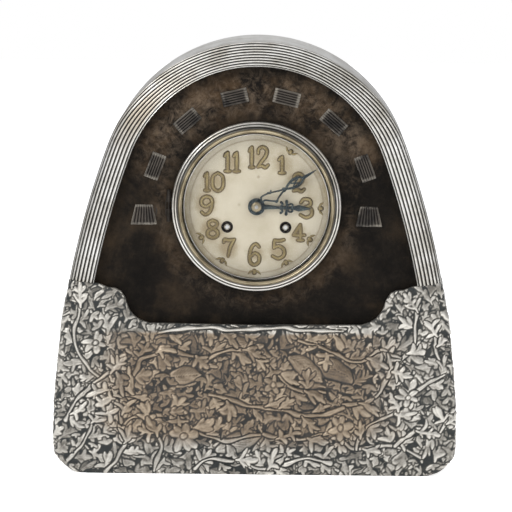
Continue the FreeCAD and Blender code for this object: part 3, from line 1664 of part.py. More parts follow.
def makeHinges():
    """Two butt hinges: a leaf of three knuckles on the board, of two on the door, and a pin."""
    caseLeaves, doorLeaves, pins = [], [], []
    step = s.hingeLength / 5
    gap = s.hingeGap / 2
    face = caseBack + s.hingeLeafThickness
    for place, low in (("Low", s.hingeLow), ("High", doorSpring - s.hingeHighDrop)):
        for side, leaves, turns in ((1, caseLeaves, (0, 2, 4)), (-1, doorLeaves, (1, 3))):
            name = f"hinge{place}{'Case' if side > 0 else 'Door'}"
            near = hingeX + s.hingeKnuckleRadius * side
            far = hingeX + s.hingeLeafWidth * side
            plateLow, plateHigh = (near, far) if side > 0 else (far, near)
            pieces = [block(name + "Plate", (plateLow, caseBack, low),
                            (plateHigh, face, low + s.hingeLength))]
            for turn in turns:
                start, end = low + step * turn + gap, low + step * (turn + 1) - gap
                pieces.append(post(f"{name}Knuckle{turn}", s.hingeKnuckleRadius, hingeX, hingeY,
                                   start, end))
                neckLow, neckHigh = (hingeX, near) if side > 0 else (near, hingeX)
                pieces.append(block(f"{name}Neck{turn}", (neckLow, hingeY - s.hingeKnuckleRadius, start),
                                    (neckHigh, face, end)))
            play = zero if side > 0 else s.pivotPlay
            hole = postBore(name + "Bore", s.hingePinRadius + play, hingeX, hingeY,
                        low - s.overrun, low + s.hingeLength + s.overrun)
            leaves.append(cutFrom(name, fused(name + "Blank", *pieces), hole))
        pins.append(post(f"hingePin{place}", s.hingePinRadius, hingeX, hingeY, low,
                         low + s.hingeLength))
    node(grouped("case_hinge_leaves", *caseLeaves))
    node(grouped("door_hinge_leaves", *doorLeaves))
    node(grouped("hinge_pins", *pins))


# shares of the knob's radius and of its length
knobShares = (
    (0.9, 0), (0.5, 0.2), (0.95, 0.45), (0.95, 0.75), (0.5, 0.96),
)


def makeCatch():
    """Turned brass knob on a spindle through the door, with a tongue inside."""
    face = caseBack + s.catchGap
    points = [
        (zero, shellBack - s.catchGap - s.tongueThickness),
        (s.spindleRadius, shellBack - s.catchGap - s.tongueThickness),
        (s.spindleRadius, face),
    ]
    points += [(s.knobRadius * share, face + s.knobLength * height)
               for share, height in knobShares]
    knob = turned("door_knob", points + [(zero, face + s.knobLength)], knobX, s.knobHeight)
    node(knob)
    half = s.tongueWidth / 2
    back = shellBack - s.catchGap
    tongue = block("tongueBlank", (knobX - half, back - s.tongueThickness, s.knobHeight - half),
                   (knobX + half, back, s.knobHeight + s.tongueLength))
    hole = bore("tongueBore", s.spindleRadius, knobX, s.knobHeight,
               back - s.tongueThickness - s.overrun, back + s.overrun)
    node(cutFrom("door_tongue", tongue, hole))


makeBaseBoard()
makeCaseShell()
makeFrontBoard()
makeFrontPanel()
makeCladding()
makeApronBoard()
makeApron()
makeMoulding()
makeRayBlocks()
makeFanBlocks()
makeDial()
makeBezel()
makeBezelHinge()
makeHourHand()
makeMinuteHand()
makeCollet()
makePlates()
windingArbor("going_winding_arbor", goingPlace)
windingArbor("strike_winding_arbor", strikePlace)
makeGoingBarrel()
makeCentreArbor()
makeThirdWheel()
makeEscapeWheel()
makeAnchor()
makeCrutch()
makeMotionWork()
makeStrikeBarrel()
makePinWheel()
makeLockWheel()
makeFly()
makeHammer()
makeGong()
makeClick("going_click", goingPlace)
makeClick("strike_click", strikePlace)
makeClickStuds()
makeSuspension()
makePendulum()
makeBackBoard()
makeDoor()
makeHinges()
makeCatch()

doc.recompute()
os.makedirs("parts", exist_ok=True)
failed = [item.Label for item in doc.Objects if {"Invalid", "Error"} & set(item.State)]
for name, item in nodes.items():
    if item.Shape.isNull() or not item.Shape.isValid():
        failed.append(name)
if failed:
    raise SystemExit("failed objects: " + ", ".join(failed))
for name, item in nodes.items():
    item.Shape.exportStep(f"parts/{name}.step")
print(len(nodes), "sub-parts written")
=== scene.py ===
import json
import math

import bpy
import numpy as np
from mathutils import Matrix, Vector


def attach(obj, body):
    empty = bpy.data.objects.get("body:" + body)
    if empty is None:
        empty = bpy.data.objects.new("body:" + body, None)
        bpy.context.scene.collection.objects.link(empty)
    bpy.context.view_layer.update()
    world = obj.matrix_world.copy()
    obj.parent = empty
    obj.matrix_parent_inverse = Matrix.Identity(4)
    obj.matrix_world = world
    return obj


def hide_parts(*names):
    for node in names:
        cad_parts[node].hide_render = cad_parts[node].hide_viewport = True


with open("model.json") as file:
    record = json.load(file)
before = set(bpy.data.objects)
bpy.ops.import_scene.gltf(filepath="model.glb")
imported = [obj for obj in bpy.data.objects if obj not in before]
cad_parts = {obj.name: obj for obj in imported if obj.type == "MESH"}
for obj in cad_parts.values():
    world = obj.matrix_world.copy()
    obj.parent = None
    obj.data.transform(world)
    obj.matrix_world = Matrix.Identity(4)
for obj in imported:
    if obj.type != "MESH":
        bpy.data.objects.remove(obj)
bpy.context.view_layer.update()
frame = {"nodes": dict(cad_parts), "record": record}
mm = 0.001
print("stage: frame loaded")


# closed solids, in millimetres

class Solid:
    def __init__(self, points, faceSets, marks=None):
        self.points = np.asarray(points, dtype=float).reshape(-1, 3)
        self.faceSets = [np.asarray(faces, dtype=int) for faces in faceSets]
        self.marks = marks or {}
        if self.volume() < 0:
            self.faceSets = [faces[:, ::-1] for faces in self.faceSets]

    def volume(self):
        total = 0.0
        for faces in self.faceSets:
            first = self.points[faces[:, 0]]
            for corner in range(1, faces.shape[1] - 1):
                second = self.points[faces[:, corner]]
                third = self.points[faces[:, corner + 1]]
                total += np.einsum("ij,ij->i", first, np.cross(second, third)).sum()
        return total

    def marked(self, name, value):
        self.marks[name] = np.broadcast_to(value, len(self.points)).astype(float)
        return self


def joined(solids):
    points, faceSets, marks, start = [], {}, {}, 0
    for solid in solids:
        points.append(solid.points)
        for faces in solid.faceSets:
            faceSets.setdefault(faces.shape[1], []).append(faces + start)
        start += len(solid.points)
    for name in solids[0].marks:
        marks[name] = np.concatenate([solid.marks[name] for solid in solids])
    whole = Solid(np.concatenate(points), [])
    whole.faceSets = [np.concatenate(group) for group in faceSets.values()]
    whole.marks = marks
    return whole


def gridFaces(rows, columns, closeRows=False, closeColumns=False):
    index = np.arange(rows * columns).reshape(rows, columns)
    if closeRows:
        index = np.concatenate([index, index[:1]], axis=0)
    if closeColumns:
        index = np.concatenate([index, index[:, :1]], axis=1)
    return np.stack([index[:-1, :-1], index[1:, :-1], index[1:, 1:], index[:-1, 1:]], axis=-1).reshape(-1, 4)


def swept(rings, marks=None):
    rings = np.asarray(rings, dtype=float)
    count, size = rings.shape[:2]
    caps = [np.arange(size)[None, ::-1], (np.arange(size) + (count - 1) * size)[None, :]]
    return Solid(rings, [gridFaces(count, size, False, True)] + caps, marks)


def lathed(profile, centre, steps=160, marks=None):
    profile = np.asarray(profile, dtype=float)
    turn = np.linspace(0, 2 * math.pi, steps, endpoint=False)
    points = np.empty((steps, len(profile), 3))
    points[..., 0] = centre[0] + np.outer(np.cos(turn), profile[:, 0])
    points[..., 1] = profile[:, 1]
    points[..., 2] = centre[1] + np.outer(np.sin(turn), profile[:, 0])
    tiled = {name: np.tile(value, steps) for name, value in (marks or {}).items()}
    return Solid(points, [gridFaces(steps, len(profile), True, True)], tiled)


def curved(points, spacing=0.8):
    points = np.asarray(points, dtype=float)
    if len(points) < 3:
        count = max(3, int(np.linalg.norm(points[-1] - points[0]) / spacing))
        share = np.linspace(0, 1, count)[:, None]
        return points[0] * (1 - share) + points[-1] * share
    padded = np.vstack([2 * points[0] - points[1], points, 2 * points[-1] - points[-2]])
    line = []
    for index in range(1, len(padded) - 2):
        a, b, c, d = padded[index - 1:index + 3]
        count = max(2, int(np.linalg.norm(c - b) / spacing))
        for share in np.linspace(0, 1, count, endpoint=False):
            line.append(0.5 * (2 * b + (c - a) * share + (2 * a - 5 * b + 4 * c - d) * share ** 2
                               + (3 * b - a - 3 * c + d) * share ** 3))
    line.append(points[-1])
    return np.array(line)


def ribbon(points, halfWidths, back, height, flat=1.0, spacing=0.8, roundEnds=True, sides=11):
    line = curved(points, spacing)
    travel = np.concatenate([[0], np.cumsum(np.linalg.norm(np.diff(line, axis=0), axis=1))])
    share = travel / travel[-1]
    knots = np.linspace(0, 1, len(halfWidths))
    width = np.interp(share, knots, halfWidths)
    tangent = np.gradient(line, axis=0)
    tangent /= np.linalg.norm(tangent, axis=1)[:, None]
    scale = np.ones(len(line))
    if roundEnds:
        turns = np.radians([20, 45, 65, 82])
        head = line[0] - tangent[0] * (width[0] * np.sin(turns[::-1]))[:, None]
        tail = line[-1] + tangent[-1] * (width[-1] * np.sin(turns))[:, None]
        line = np.vstack([head, line, tail])
        tangent = np.vstack([np.tile(tangent[0], (4, 1)), tangent, np.tile(tangent[-1], (4, 1))])
        width = np.concatenate([np.full(4, width[0]), width, np.full(4, width[-1])])
        scale = np.concatenate([np.cos(turns[::-1]), scale, np.cos(turns)])
    side = np.stack([-tangent[:, 1], tangent[:, 0]], axis=1)
    around = np.linspace(0, math.pi, sides)
    across, rise = np.cos(around), np.sin(around) ** flat
    rings = np.empty((len(line), sides, 3))
    rings[..., 0] = line[:, 0, None] + side[:, 0, None] * (width * scale)[:, None] * across
    rings[..., 2] = line[:, 1, None] + side[:, 1, None] * (width * scale)[:, None] * across
    rings[..., 1] = back - height * np.minimum(1, scale * 1.3)[:, None] * rise
    # middle marks the crest of a ribbon, where the numeral finish paints a highlight and darkens the sides as
    # shade
    middle = np.minimum(scale[:, None] * 1.2, 1) * np.sqrt(1 - across ** 2)
    return swept(rings, {"middle": middle.ravel()})


def addPiece(label, solid, finish, body, nodes, sharp=42):
    mesh = bpy.data.meshes.new(label)
    mesh.vertices.add(len(solid.points))
    mesh.vertices.foreach_set("co", (solid.points * mm).astype(np.float32).ravel())
    corners = np.concatenate([faces.ravel() for faces in solid.faceSets]).astype(np.int32)
    totals = np.concatenate([np.full(len(faces), faces.shape[1]) for faces in solid.faceSets])
    starts = np.concatenate([[0], np.cumsum(totals)[:-1]]).astype(np.int32)
    mesh.loops.add(len(corners))
    mesh.loops.foreach_set("vertex_index", corners)
    mesh.polygons.add(len(totals))
    mesh.polygons.foreach_set("loop_start", starts)
    mesh.update(calc_edges=True)
    mesh.polygons.foreach_set("use_smooth", np.full(len(totals), True))
    mesh.set_sharp_from_angle(angle=math.radians(sharp))
    for name, values in solid.marks.items():
        layer = mesh.attributes.new(name, "FLOAT", "POINT")
        layer.data.foreach_set("value", np.asarray(values, dtype=np.float32))
    mesh.materials.append(finishes[finish])
    piece = bpy.data.objects.new(label, mesh)
    bpy.context.scene.collection.objects.link(piece)
    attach(piece, body)
    if nodes:
        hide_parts(*nodes)
    return piece


# shader wires and finishes

class Wire:
    def __init__(self, finish, socket):
        self.finish = finish
        self.socket = socket

    def maths(self, operation, *others):
        return self.finish.node("ShaderNodeMath", {"operation": operation}, dict(enumerate((self,) + others)))

    def __add__(self, other):
        return self.maths("ADD", other)

    def __radd__(self, other):
        return self.maths("ADD", other)

    def __mul__(self, other):
        return self.maths("MULTIPLY", other)

    def __rmul__(self, other):
        return self.maths("MULTIPLY", other)

    def __sub__(self, other):
        return self.maths("SUBTRACT", other)

    def __rsub__(self, other):
        return (self * -1).maths("ADD", other)

    def stepped(self, low, high):
        return self.finish.node("ShaderNodeMapRange", {"interpolation_type": "SMOOTHSTEP"},
                                {0: self, 1: low, 2: high, 3: 0.0, 4: 1.0})


class Graph:
    def __init__(self, tree):
        self.tree = tree

    def connect(self, socket, value):
        if isinstance(value, Wire):
            self.tree.links.new(value.socket, socket)
        elif isinstance(value, (tuple, list)) and len(value) == 3 and len(socket.default_value) == 4:
            socket.default_value = (*value, 1.0)
        else:
            socket.default_value = value

    def node(self, kind, settings, values, output=0):
        made = self.tree.nodes.new(kind)
        for name, value in settings.items():
            if name == "stops":
                ramp = made.color_ramp
                while len(ramp.elements) < len(value):
                    ramp.elements.new(0.5)
                for element, (position, colour) in zip(ramp.elements, value):
                    element.position = position
                    element.color = (*colour, 1.0)
            else:
                setattr(made, name, value)
        for name, value in values.items():
            self.connect(made.inputs[name], value)
        return Wire(self, made.outputs[output])


class Finish(Graph):
    def __init__(self, label):
        self.material = bpy.data.materials.new(label)
        self.material.use_nodes = True
        super().__init__(self.material.node_tree)
        self.shader = self.tree.nodes["Principled BSDF"]
        self.place = self.node("ShaderNodeTexCoord", {}, {}, "Object")

    def mark(self, name):
        return self.node("ShaderNodeAttribute", {"attribute_name": name}, {}, "Fac")

    def stretched(self, x, y, z):
        return self.node("ShaderNodeVectorMath", {"operation": "MULTIPLY"}, {0: self.place, 1: (x, y, z)})

    def noise(self, scale, detail=4.0, roughness=0.55, distortion=0.0, place=None):
        return self.node("ShaderNodeTexNoise", {}, {"Vector": place or self.place, "Scale": scale,
                         "Detail": detail, "Roughness": roughness, "Distortion": distortion}, "Fac")

    def cells(self, scale, feature="F1", place=None):
        return self.node("ShaderNodeTexVoronoi", {"feature": feature},
                         {"Vector": place or self.place, "Scale": scale}, "Distance")

    def mixed(self, share, first, second, blend="MIX"):
        return self.node("ShaderNodeMix", {"data_type": "RGBA", "blend_type": blend},
                         {0: share, 6: first, 7: second}, 2)

    def ramp(self, value, *stops):
        return self.node("ShaderNodeValToRGB", {"stops": stops}, {0: value})

    def done(self, colour, metallic, roughness, height=None, bump=0.4, reach=0.0003, **extras):
        self.connect(self.shader.inputs["Base Color"], colour)
        self.connect(self.shader.inputs["Metallic"], metallic)
        self.connect(self.shader.inputs["Roughness"], roughness)
        if height is not None:
            normal = self.node("ShaderNodeBump", {}, {"Strength": bump, "Distance": reach, "Height": height},
                               "Normal")
            self.connect(self.shader.inputs["Normal"], normal)
        for name, value in extras.items():
            self.connect(self.shader.inputs[name.replace("_", " ")], value)
        return self.material


def makeSilver():
    finish = Finish("silveredMetal")
    soft = finish.noise(28, 3)
    fine = finish.noise(420, 4)
    long = finish.noise(120, 4, 0.7)
    recess = finish.mark("recess")
    # painted shade: where the recess mark is high (reed gaps, grooves, hidden walls) the colour goes
    # near-black, and the noise adds random grime patches
    shadeAndGrime = (recess + (soft - 0.5) * 0.4 + (long - 0.5) * 0.25).stepped(0.13, 0.56)
    bright = finish.mixed((soft * 0.6 + long * 0.4).stepped(0.38, 0.66), (0.74, 0.73, 0.70),
                          (0.46, 0.435, 0.38))
    warm = finish.mixed(finish.mark("tarnish"), bright, (0.36, 0.30, 0.22))
    # painted shade down the sides of the reeds and grooves
    shaded = finish.mixed(recess.stepped(0.0, 0.35) * 0.55, warm, (0.16, 0.15, 0.13))
    colour = finish.mixed(shadeAndGrime, shaded, (0.022, 0.019, 0.015))
    return finish.done(colour, 0.95 - shadeAndGrime * 0.7, 0.26 + fine * 0.12 + shadeAndGrime * 0.35, fine + soft + long,
                       0.15, 0.0002)


def makeCladdingMetal():
    finish = Finish("claddingMetal")
    soft = finish.noise(22, 4, 0.6)
    fine = finish.noise(500, 3)
    lines = finish.noise(60, 3, 0.6, 0.0, finish.stretched(1, 0.08, 1))
    colour = finish.mixed((soft * 0.6 + lines * 0.4).stepped(0.35, 0.68), (0.78, 0.77, 0.74),
                          (0.50, 0.48, 0.44))
    return finish.done(colour, 0.9, 0.3 + fine * 0.1 + soft * 0.15, lines + fine * 0.5, 0.12, 0.0002)


def makeEmbossed():
    finish = Finish("embossedMetal")
    soft = finish.noise(18, 3)
    patina = finish.noise(75, 5, 0.7)
    grain = finish.noise(260, 5, 0.65)
    fine = finish.noise(900, 3)
    # the relief mark carries painted shade: dark in the gaps and hollows between the leaves, where patina
    # lies as well, and lighter on the high points
    height = finish.mark("relief") + (grain - 0.5) * 0.42 + (patina - 0.5) * 0.55 + finish.mark("tone") * 0.11
    centre = finish.mark("centre")
    cold = finish.ramp(height, (0.0, (0.017, 0.020, 0.020)), (0.20, (0.042, 0.042, 0.038)),
                       (0.44, (0.170, 0.158, 0.137)), (0.80, (0.55, 0.527, 0.48)))
    warm = finish.ramp(height, (0.0, (0.022, 0.021, 0.019)), (0.22, (0.055, 0.045, 0.036)),
                       (0.46, (0.150, 0.114, 0.081)), (0.90, (0.345, 0.28, 0.205)))
    share = (centre + (soft - 0.5) * 0.7 + (patina - 0.5) * 0.6).stepped(0.10, 0.90)
    colour = finish.mixed(share, cold, warm)
    high = height.stepped(0.2, 0.55)
    return finish.done(colour, 0.35 + high * 0.5, 0.56 - high * 0.2 + fine * 0.1,
                       grain + patina + fine * 0.5, 0.5, 0.0004)


def makePanel():
    finish = Finish("darkPanel")
    cloud = finish.noise(14, 5, 0.65, 0.6)
    patch = finish.noise(45, 4, 0.7)
    grain = finish.noise(300, 4, 0.6)
    scratch = finish.noise(120, 8, 0.85, 0.9)
    colour = finish.ramp(cloud * 0.6 + patch * 0.4, (0.34, (0.0035, 0.0032, 0.0028)),
                         (0.50, (0.0080, 0.0066, 0.0052)), (0.60, (0.022, 0.0155, 0.0098)),
                         (0.76, (0.050, 0.033, 0.019)))
    rubbed = (scratch * 0.7 + cloud * 0.5 + grain * 0.15).stepped(0.60, 0.86)
    worn = (finish.mark("worn") * 0.8 + 0.06) * rubbed
    colour = finish.mixed(finish.mark("worn") * patch.stepped(0.42, 0.66) * 0.75, colour,
                          (0.066, 0.041, 0.022))
    colour = finish.mixed(worn, colour, (0.15, 0.11, 0.076))
    return finish.done(colour, 0.0, 0.48 + patch * 0.2, grain + patch * 2 + scratch * 2, 0.5, 0.0005,
                       Specular_IOR_Level=0.05)


def makeBlockFinish():
    finish = Finish("reededBlock")
    grain = finish.noise(260, 4)
    soft = finish.noise(60, 3)
    # painted highlight in patches on the reed crests, while the grooves marked as recess stay near-black as
    # painted shade
    shine = (1 - finish.mark("recess")).stepped(0.42, 0.9) * soft.stepped(0.3, 0.6)
    colour = finish.mixed(shine, (0.008, 0.0065, 0.0055), (0.066, 0.056, 0.046))
    # painted highlight along the edges of each block
    colour = finish.mixed(finish.mark("edge") * (soft + grain * 0.5).stepped(0.55, 0.95), colour,
                          (0.21, 0.19, 0.16))
    return finish.done(colour, shine * 0.3, 0.5 + grain * 0.15, grain, 0.3, 0.0003, Specular_IOR_Level=0.3)


def makeDialPaint():
    finish = Finish("dialCream")
    cloud = finish.noise(40, 4, 0.6)
    fine = finish.noise(240, 4, 0.6)
    spots = finish.cells(90).stepped(0.16, 0.04) * finish.noise(30, 2).stepped(0.55, 0.7)
    stain = (finish.mark("stain") + (cloud - 0.5) * 0.9 + (fine - 0.5) * 0.3).stepped(0.12, 0.85)
    colour = finish.mixed(cloud.stepped(0.3, 0.7), (0.60, 0.545, 0.42), (0.50, 0.44, 0.32))
    colour = finish.mixed(stain * 0.9, colour, (0.31, 0.245, 0.135))
    colour = finish.mixed(finish.mark("ring") * 0.6, colour, (0.24, 0.185, 0.11))
    colour = finish.mixed(spots * 0.7, colour, (0.22, 0.15, 0.09))
    return finish.done(colour, 0.0, 0.5 + fine * 0.15, fine, 0.12, 0.0002)


def makeGilt(label="gilt", bright=(0.55, 0.43, 0.20), dull=(0.30, 0.22, 0.10), metallic=0.85):
    finish = Finish(label)
    soft = finish.noise(70, 4)
    fine = finish.noise(600, 3)
    colour = finish.mixed(soft.stepped(0.35, 0.68), bright, dull)
    return finish.done(colour, metallic, 0.3 + fine * 0.15, fine, 0.15, 0.0002)


def makeNumeralGilt():
    finish = Finish("numeralGilt")
    soft = finish.noise(110, 4)
    fine = finish.noise(700, 3)
    # painted highlight along the crest of each numeral stroke, with painted shade down its sides
    middle = (finish.mark("middle") + (soft - 0.5) * 0.5).stepped(0.45, 0.98)
    face = finish.mixed(soft.stepped(0.35, 0.65), (0.335, 0.265, 0.120), (0.205, 0.155, 0.068))
    colour = finish.mixed(middle, (0.105, 0.080, 0.042), face)
    return finish.done(colour, 0.2, 0.46 + fine * 0.15, fine, 0.2, 0.0002)


def makeMetal(label, bright, dull, roughness, scale=60, brushed=(1, 1, 1)):
    finish = Finish(label)
    soft = finish.noise(scale, 4)
    lines = finish.noise(300, 3, 0.6, 0.0, finish.stretched(*brushed))
    colour = finish.mixed((soft * 0.7 + lines * 0.3).stepped(0.35, 0.68), bright, dull)
    return finish.done(colour, 1.0, roughness + soft * 0.12, lines, 0.12, 0.0002)


arborEnds = {"spread": 21.8, "height": 185.4, "brightWithin": 0.0012, "darkFrom": 0.0019}


def makeWindingSteel():
    finish = Finish("windingSteel")
    fine = finish.noise(500, 3)
    ends = []
    for side in (-1, 1):
        flat = finish.node("ShaderNodeVectorMath", {"operation": "MULTIPLY"}, {
            0: finish.node("ShaderNodeNewGeometry", {}, {}, "Position"), 1: (1, 0, 1)})
        away = finish.node("ShaderNodeVectorMath", {"operation": "DISTANCE"}, {
            0: flat, 1: (side * arborEnds["spread"] * mm, 0, arborEnds["height"] * mm)}, "Value")
        ends.append(away)
    rim = ends[0].maths("MINIMUM", ends[1]).stepped(arborEnds["brightWithin"], arborEnds["darkFrom"])
    colour = finish.mixed(rim, (0.70, 0.70, 0.68), (0.020, 0.017, 0.014))
    return finish.done(colour, 1 - rim * 0.7, 0.3 + fine * 0.2, fine, 0.15, 0.0001)


def makeBlued():
    finish = Finish("bluedSteel")
    soft = finish.noise(160, 4)
    fine = finish.noise(900, 3)
    colour = finish.mixed(soft.stepped(0.35, 0.68), (0.022, 0.032, 0.038), (0.065, 0.082, 0.082))
    return finish.done(colour, 0.7, 0.34 + fine * 0.15, fine, 0.15, 0.0001)


def makeWood(label, light, dark, along):
    finish = Finish(label)
    place = finish.stretched(*along)
    grain = finish.noise(120, 5, 0.6, 0.4, place)
    broad = finish.noise(22, 3, 0.5, 0.8, place)
    pores = finish.noise(700, 2, 0.5, 0.0, place)
    colour = finish.ramp(grain * 0.5 + broad * 0.5, (0.32, dark), (0.52, light),
                         (0.72, tuple(value * 0.75 for value in light)))
    colour = finish.mixed(pores.stepped(0.6, 0.75) * 0.5, colour, dark)
    return finish.done(colour, 0.0, 0.5 + grain * 0.15, grain + pores * 0.6, 0.25, 0.0002)


def makeGlass():
    finish = Finish("crystalGlass")
    haze = finish.noise(30, 3)
    return finish.done((0.05, 0.05, 0.05), 0.0, 0.03 + haze * 0.04, None, Alpha=0.05)


finishes = {
    "silvered_metal": makeSilver(),
    "cladding": makeCladdingMetal(),
    "embossed_metal": makeEmbossed(),
    "dark_panel": makePanel(),
    "block": makeBlockFinish(),
    "dial_cream": makeDialPaint(),
    "gilt": makeGilt("gilt", (0.42, 0.36, 0.245), (0.23, 0.19, 0.12)),
    "numeral": makeNumeralGilt(),
    "numeralEdge": makeGilt("numeralEdge", (0.15, 0.105, 0.05), (0.10, 0.07, 0.035), 0.1),
    "brass": makeMetal("brass", (0.66, 0.48, 0.20), (0.46, 0.31, 0.12), 0.26),
    "steel": makeMetal("steel", (0.56, 0.56, 0.55), (0.36, 0.36, 0.36), 0.26),
    "blued_steel": makeBlued(),
    "winding": makeWindingSteel(),
    "iron": makeMetal("iron", (0.16, 0.155, 0.15), (0.075, 0.072, 0.07), 0.42),
    "dark_metal": makeMetal("darkMetal", (0.055, 0.048, 0.042), (0.025, 0.022, 0.019), 0.5),
    "eyelet": makeMetal("eyeletBrown", (0.030, 0.024, 0.020), (0.012, 0.010, 0.009), 0.45),
    "carcass_wood": makeWood("carcassWood", (0.20, 0.105, 0.045), (0.085, 0.040, 0.018), (1, 1, 0.09)),
    "crystal_glass": makeGlass(),
}
print("stage: finishes made")


# outline of the case: crown arc, long side arcs, base corners

case = {"half": 150.5, "top": 324.0, "crown": 118.5, "corner": 24.0}
crownHeight = case["top"] - case["crown"]
rise = crownHeight - case["corner"]
sideRadius = (case["half"] ** 2 + rise ** 2 - case["crown"] ** 2) / (2 * (case["half"] - case["crown"]))
sideX = case["half"] - sideRadius
shoulderAngle = math.atan2(crownHeight - case["corner"], -sideX)


# each arc: middle, radius, first and last angle
arcs = [((case["half"] - case["corner"], case["corner"]), case["corner"], -math.pi / 2, 0.0),
        ((sideX, case["corner"]), sideRadius, 0.0, shoulderAngle),
        ((0.0, crownHeight), case["crown"], shoulderAngle, math.pi / 2)]


def outlineRight(offset=0.0, spacing=1.0):
    # points and outward normals from the middle of the base up to the apex
    points, normals = [], []
    for middle, full, start, end in arcs:
        radius = full - offset
        count = max(4, int(radius * (end - start) / spacing))
        turn = np.linspace(start, end, count, endpoint=end == math.pi / 2)
        normals.append(np.stack([np.cos(turn), np.sin(turn)], axis=1))
        points.append(np.array(middle) + radius * normals[-1])
    return np.concatenate(points), np.concatenate(normals)


def mirrored(points, normals):
    # the right half joined at the apex to its reflection
    flip = np.array([-1, 1])
    return [np.vstack([half * flip, half[::-1][1:]]) for half in (points, normals)]


def archFrom(height, spacing=1.0):
    # left foot at the height, over the crown, to the right foot
    points, normals = outlineRight(0.0, spacing)
    keep = (points[:, 1] >= height) & (points[:, 1] > case["corner"])
    return mirrored(points[keep], normals[keep])


def inwardRing(spot, normal, pairs):
    # each pair is a distance inward from the outline and a depth
    return [(spot[0] - normal[0] * inward, depth, spot[1] - normal[1] * inward) for inward, depth in pairs]


def reachOf(loop, middle, angles):
    # how far the loop lies from the middle at each angle
    away = loop - np.array(middle)
    turn = np.arctan2(away[:, 1], away[:, 0])
    order = np.argsort(turn)
    return np.interp(angles, turn[order], np.hypot(away[:, 0], away[:, 1])[order], period=2 * math.pi)


# reeded moulding

moulding = {"width": 18.5, "lip": 1.0, "crownTurn": 0.9, "sideTurn": 6.0, "reeds": 9, "depth": 1.0,
            "front": -62.0, "crownLength": 18.4, "sideLength": 25.2, "foot": 131.0,
            "dullAt": 38, "dullWidth": 16, "behind": 4.0, "back": -54.2}


def makeMoulding():
    line, normals = archFrom(moulding["foot"], 1.3)
    samples = 10
    count = moulding["reeds"] * samples
    rings, recess, tarnish = [], [], []
    for (x, z), (nx, nz) in zip(line, normals):
        upright = max(0.0, nz)
        side = 1 - min(1.0, max(0.0, (upright - 0.35) / 0.6))
        side = side * side * (3 - 2 * side)
        turn = moulding["crownTurn"] + (moulding["sideTurn"] - moulding["crownTurn"]) * side
        length = moulding["crownLength"] + (moulding["sideLength"] - moulding["crownLength"]) * side
        flat = moulding["width"] - moulding["lip"] - turn
        arc = turn * math.pi / 2
        ring, marks, dull = [], [], []
        aside = (math.degrees(math.atan2(z - crownHeight, -x)) - moulding["dullAt"]) / moulding["dullWidth"]
        dullness = math.exp(-aside ** 2) if x < 0 else 0.0
        for step in range(count + 1):
            share = step / samples
            along = length * step / count
            wave = abs(math.sin(math.pi * share)) ** 0.85
            sunk = moulding["depth"] * (1 - wave)
            if along <= flat:
                inward, depth = moulding["width"] - moulding["lip"] - along, 0.0
                outX, outY = 0.0, -1.0
            elif along <= flat + arc:
                angle = (along - flat) / turn
                inward = turn - turn * math.sin(angle)
                depth = turn - turn * math.cos(angle)
                outX, outY = math.sin(angle), -math.cos(angle)
            else:
                inward, depth = 0.0, turn + along - flat - arc
                outX, outY = 1.0, 0.0
            shift = outX * -sunk - inward + 0.25 * side
            ring.append((x + nx * shift, moulding["front"] + depth - outY * sunk * 1.0, z + nz * shift))
            # 1 - wave marks the reed gaps, which the silver finish paints near-black as painted shade
            marks.append(1 - wave)
            dull.append(dullness * (0.8 if 0.5 < share < moulding["reeds"] * 0.55 else 0.25))
        inner, front, behind, back = (moulding[name] for name in ("width", "front", "behind", "back"))
        closing = [(behind, ring[-1][1]), (behind, back), (inner, back), (inner, front + 0.5),
                   (inner - 0.35, front - 0.35), (inner - moulding["lip"], front - 0.1)]
        ring += inwardRing((x, z), (nx, nz), closing)
        # the hidden back faces are marked fully as recess and the inner wall partly, painted dark as shade
        marks += [1, 1, 1, 0.3, 0, 0.3]
        dull += [0] * 6
        rings.append(ring)
        recess.append(marks)
        tarnish.append(dull)
    marks = {"recess": np.array(recess).ravel(), "tarnish": np.array(tarnish).ravel()}
    addPiece("reedMoulding", swept(rings, marks), "silvered_metal", "case", ["reeded_moulding"],
             75)


makeMoulding()
print("stage: moulding made")


# cladding over the sides and crown

cladding = {"thickness": 1.2, "step": 2.5, "frontEdge": [-53.6, -53.2], "span": (-45, 57, 14),
            "backEdge": [59.5, 61.2, 61.8], "sunk": 0.12, "flushFrom": 58, "edgeFrom": 61.5, "edgeSunk": 0.25}


def claddingSunk(depth):
    if depth > cladding["edgeFrom"]:
        return cladding["edgeSunk"]
    return 0.0 if depth > cladding["flushFrom"] else cladding["sunk"]


def makeCladding():
    line, normals = mirrored(*outlineRight(0.0, cladding["step"]))
    depths = cladding["frontEdge"] + list(np.linspace(*cladding["span"])) + cladding["backEdge"]
    pairs = [(claddingSunk(depth), depth) for depth in depths]
    pairs += [(cladding["thickness"], depth) for depth in reversed(depths)]
    rings = [inwardRing(spot, normal, pairs) for spot, normal in zip(line, normals)]
    addPiece("sideCladding", swept(rings), "cladding", "case", ["side_cladding"])


makeCladding()
print("stage: cladding made")


# dark panel with a soft ridge round the dial

dial = {"height": 201.0, "ridge": 71.5, "ridgeWidth": 5.0, "ridgeHeight": 0.9, "face": -55.2, "back": -54.1,
        "rings": 70, "steps": 240, "bore": 4.0, "radius": 60.3, "track": 49.7, "unitsAcross": 257.6,
        "unitsUp": 205.5, "unit": 0.75}
panel = {"front": -54.0, "back": -53.0, "inner": 47.0, "inset": 2.6, "halfFoot": 126, "footPoints": 120,
         "steps": 480, "rows": 90, "waves": 26}


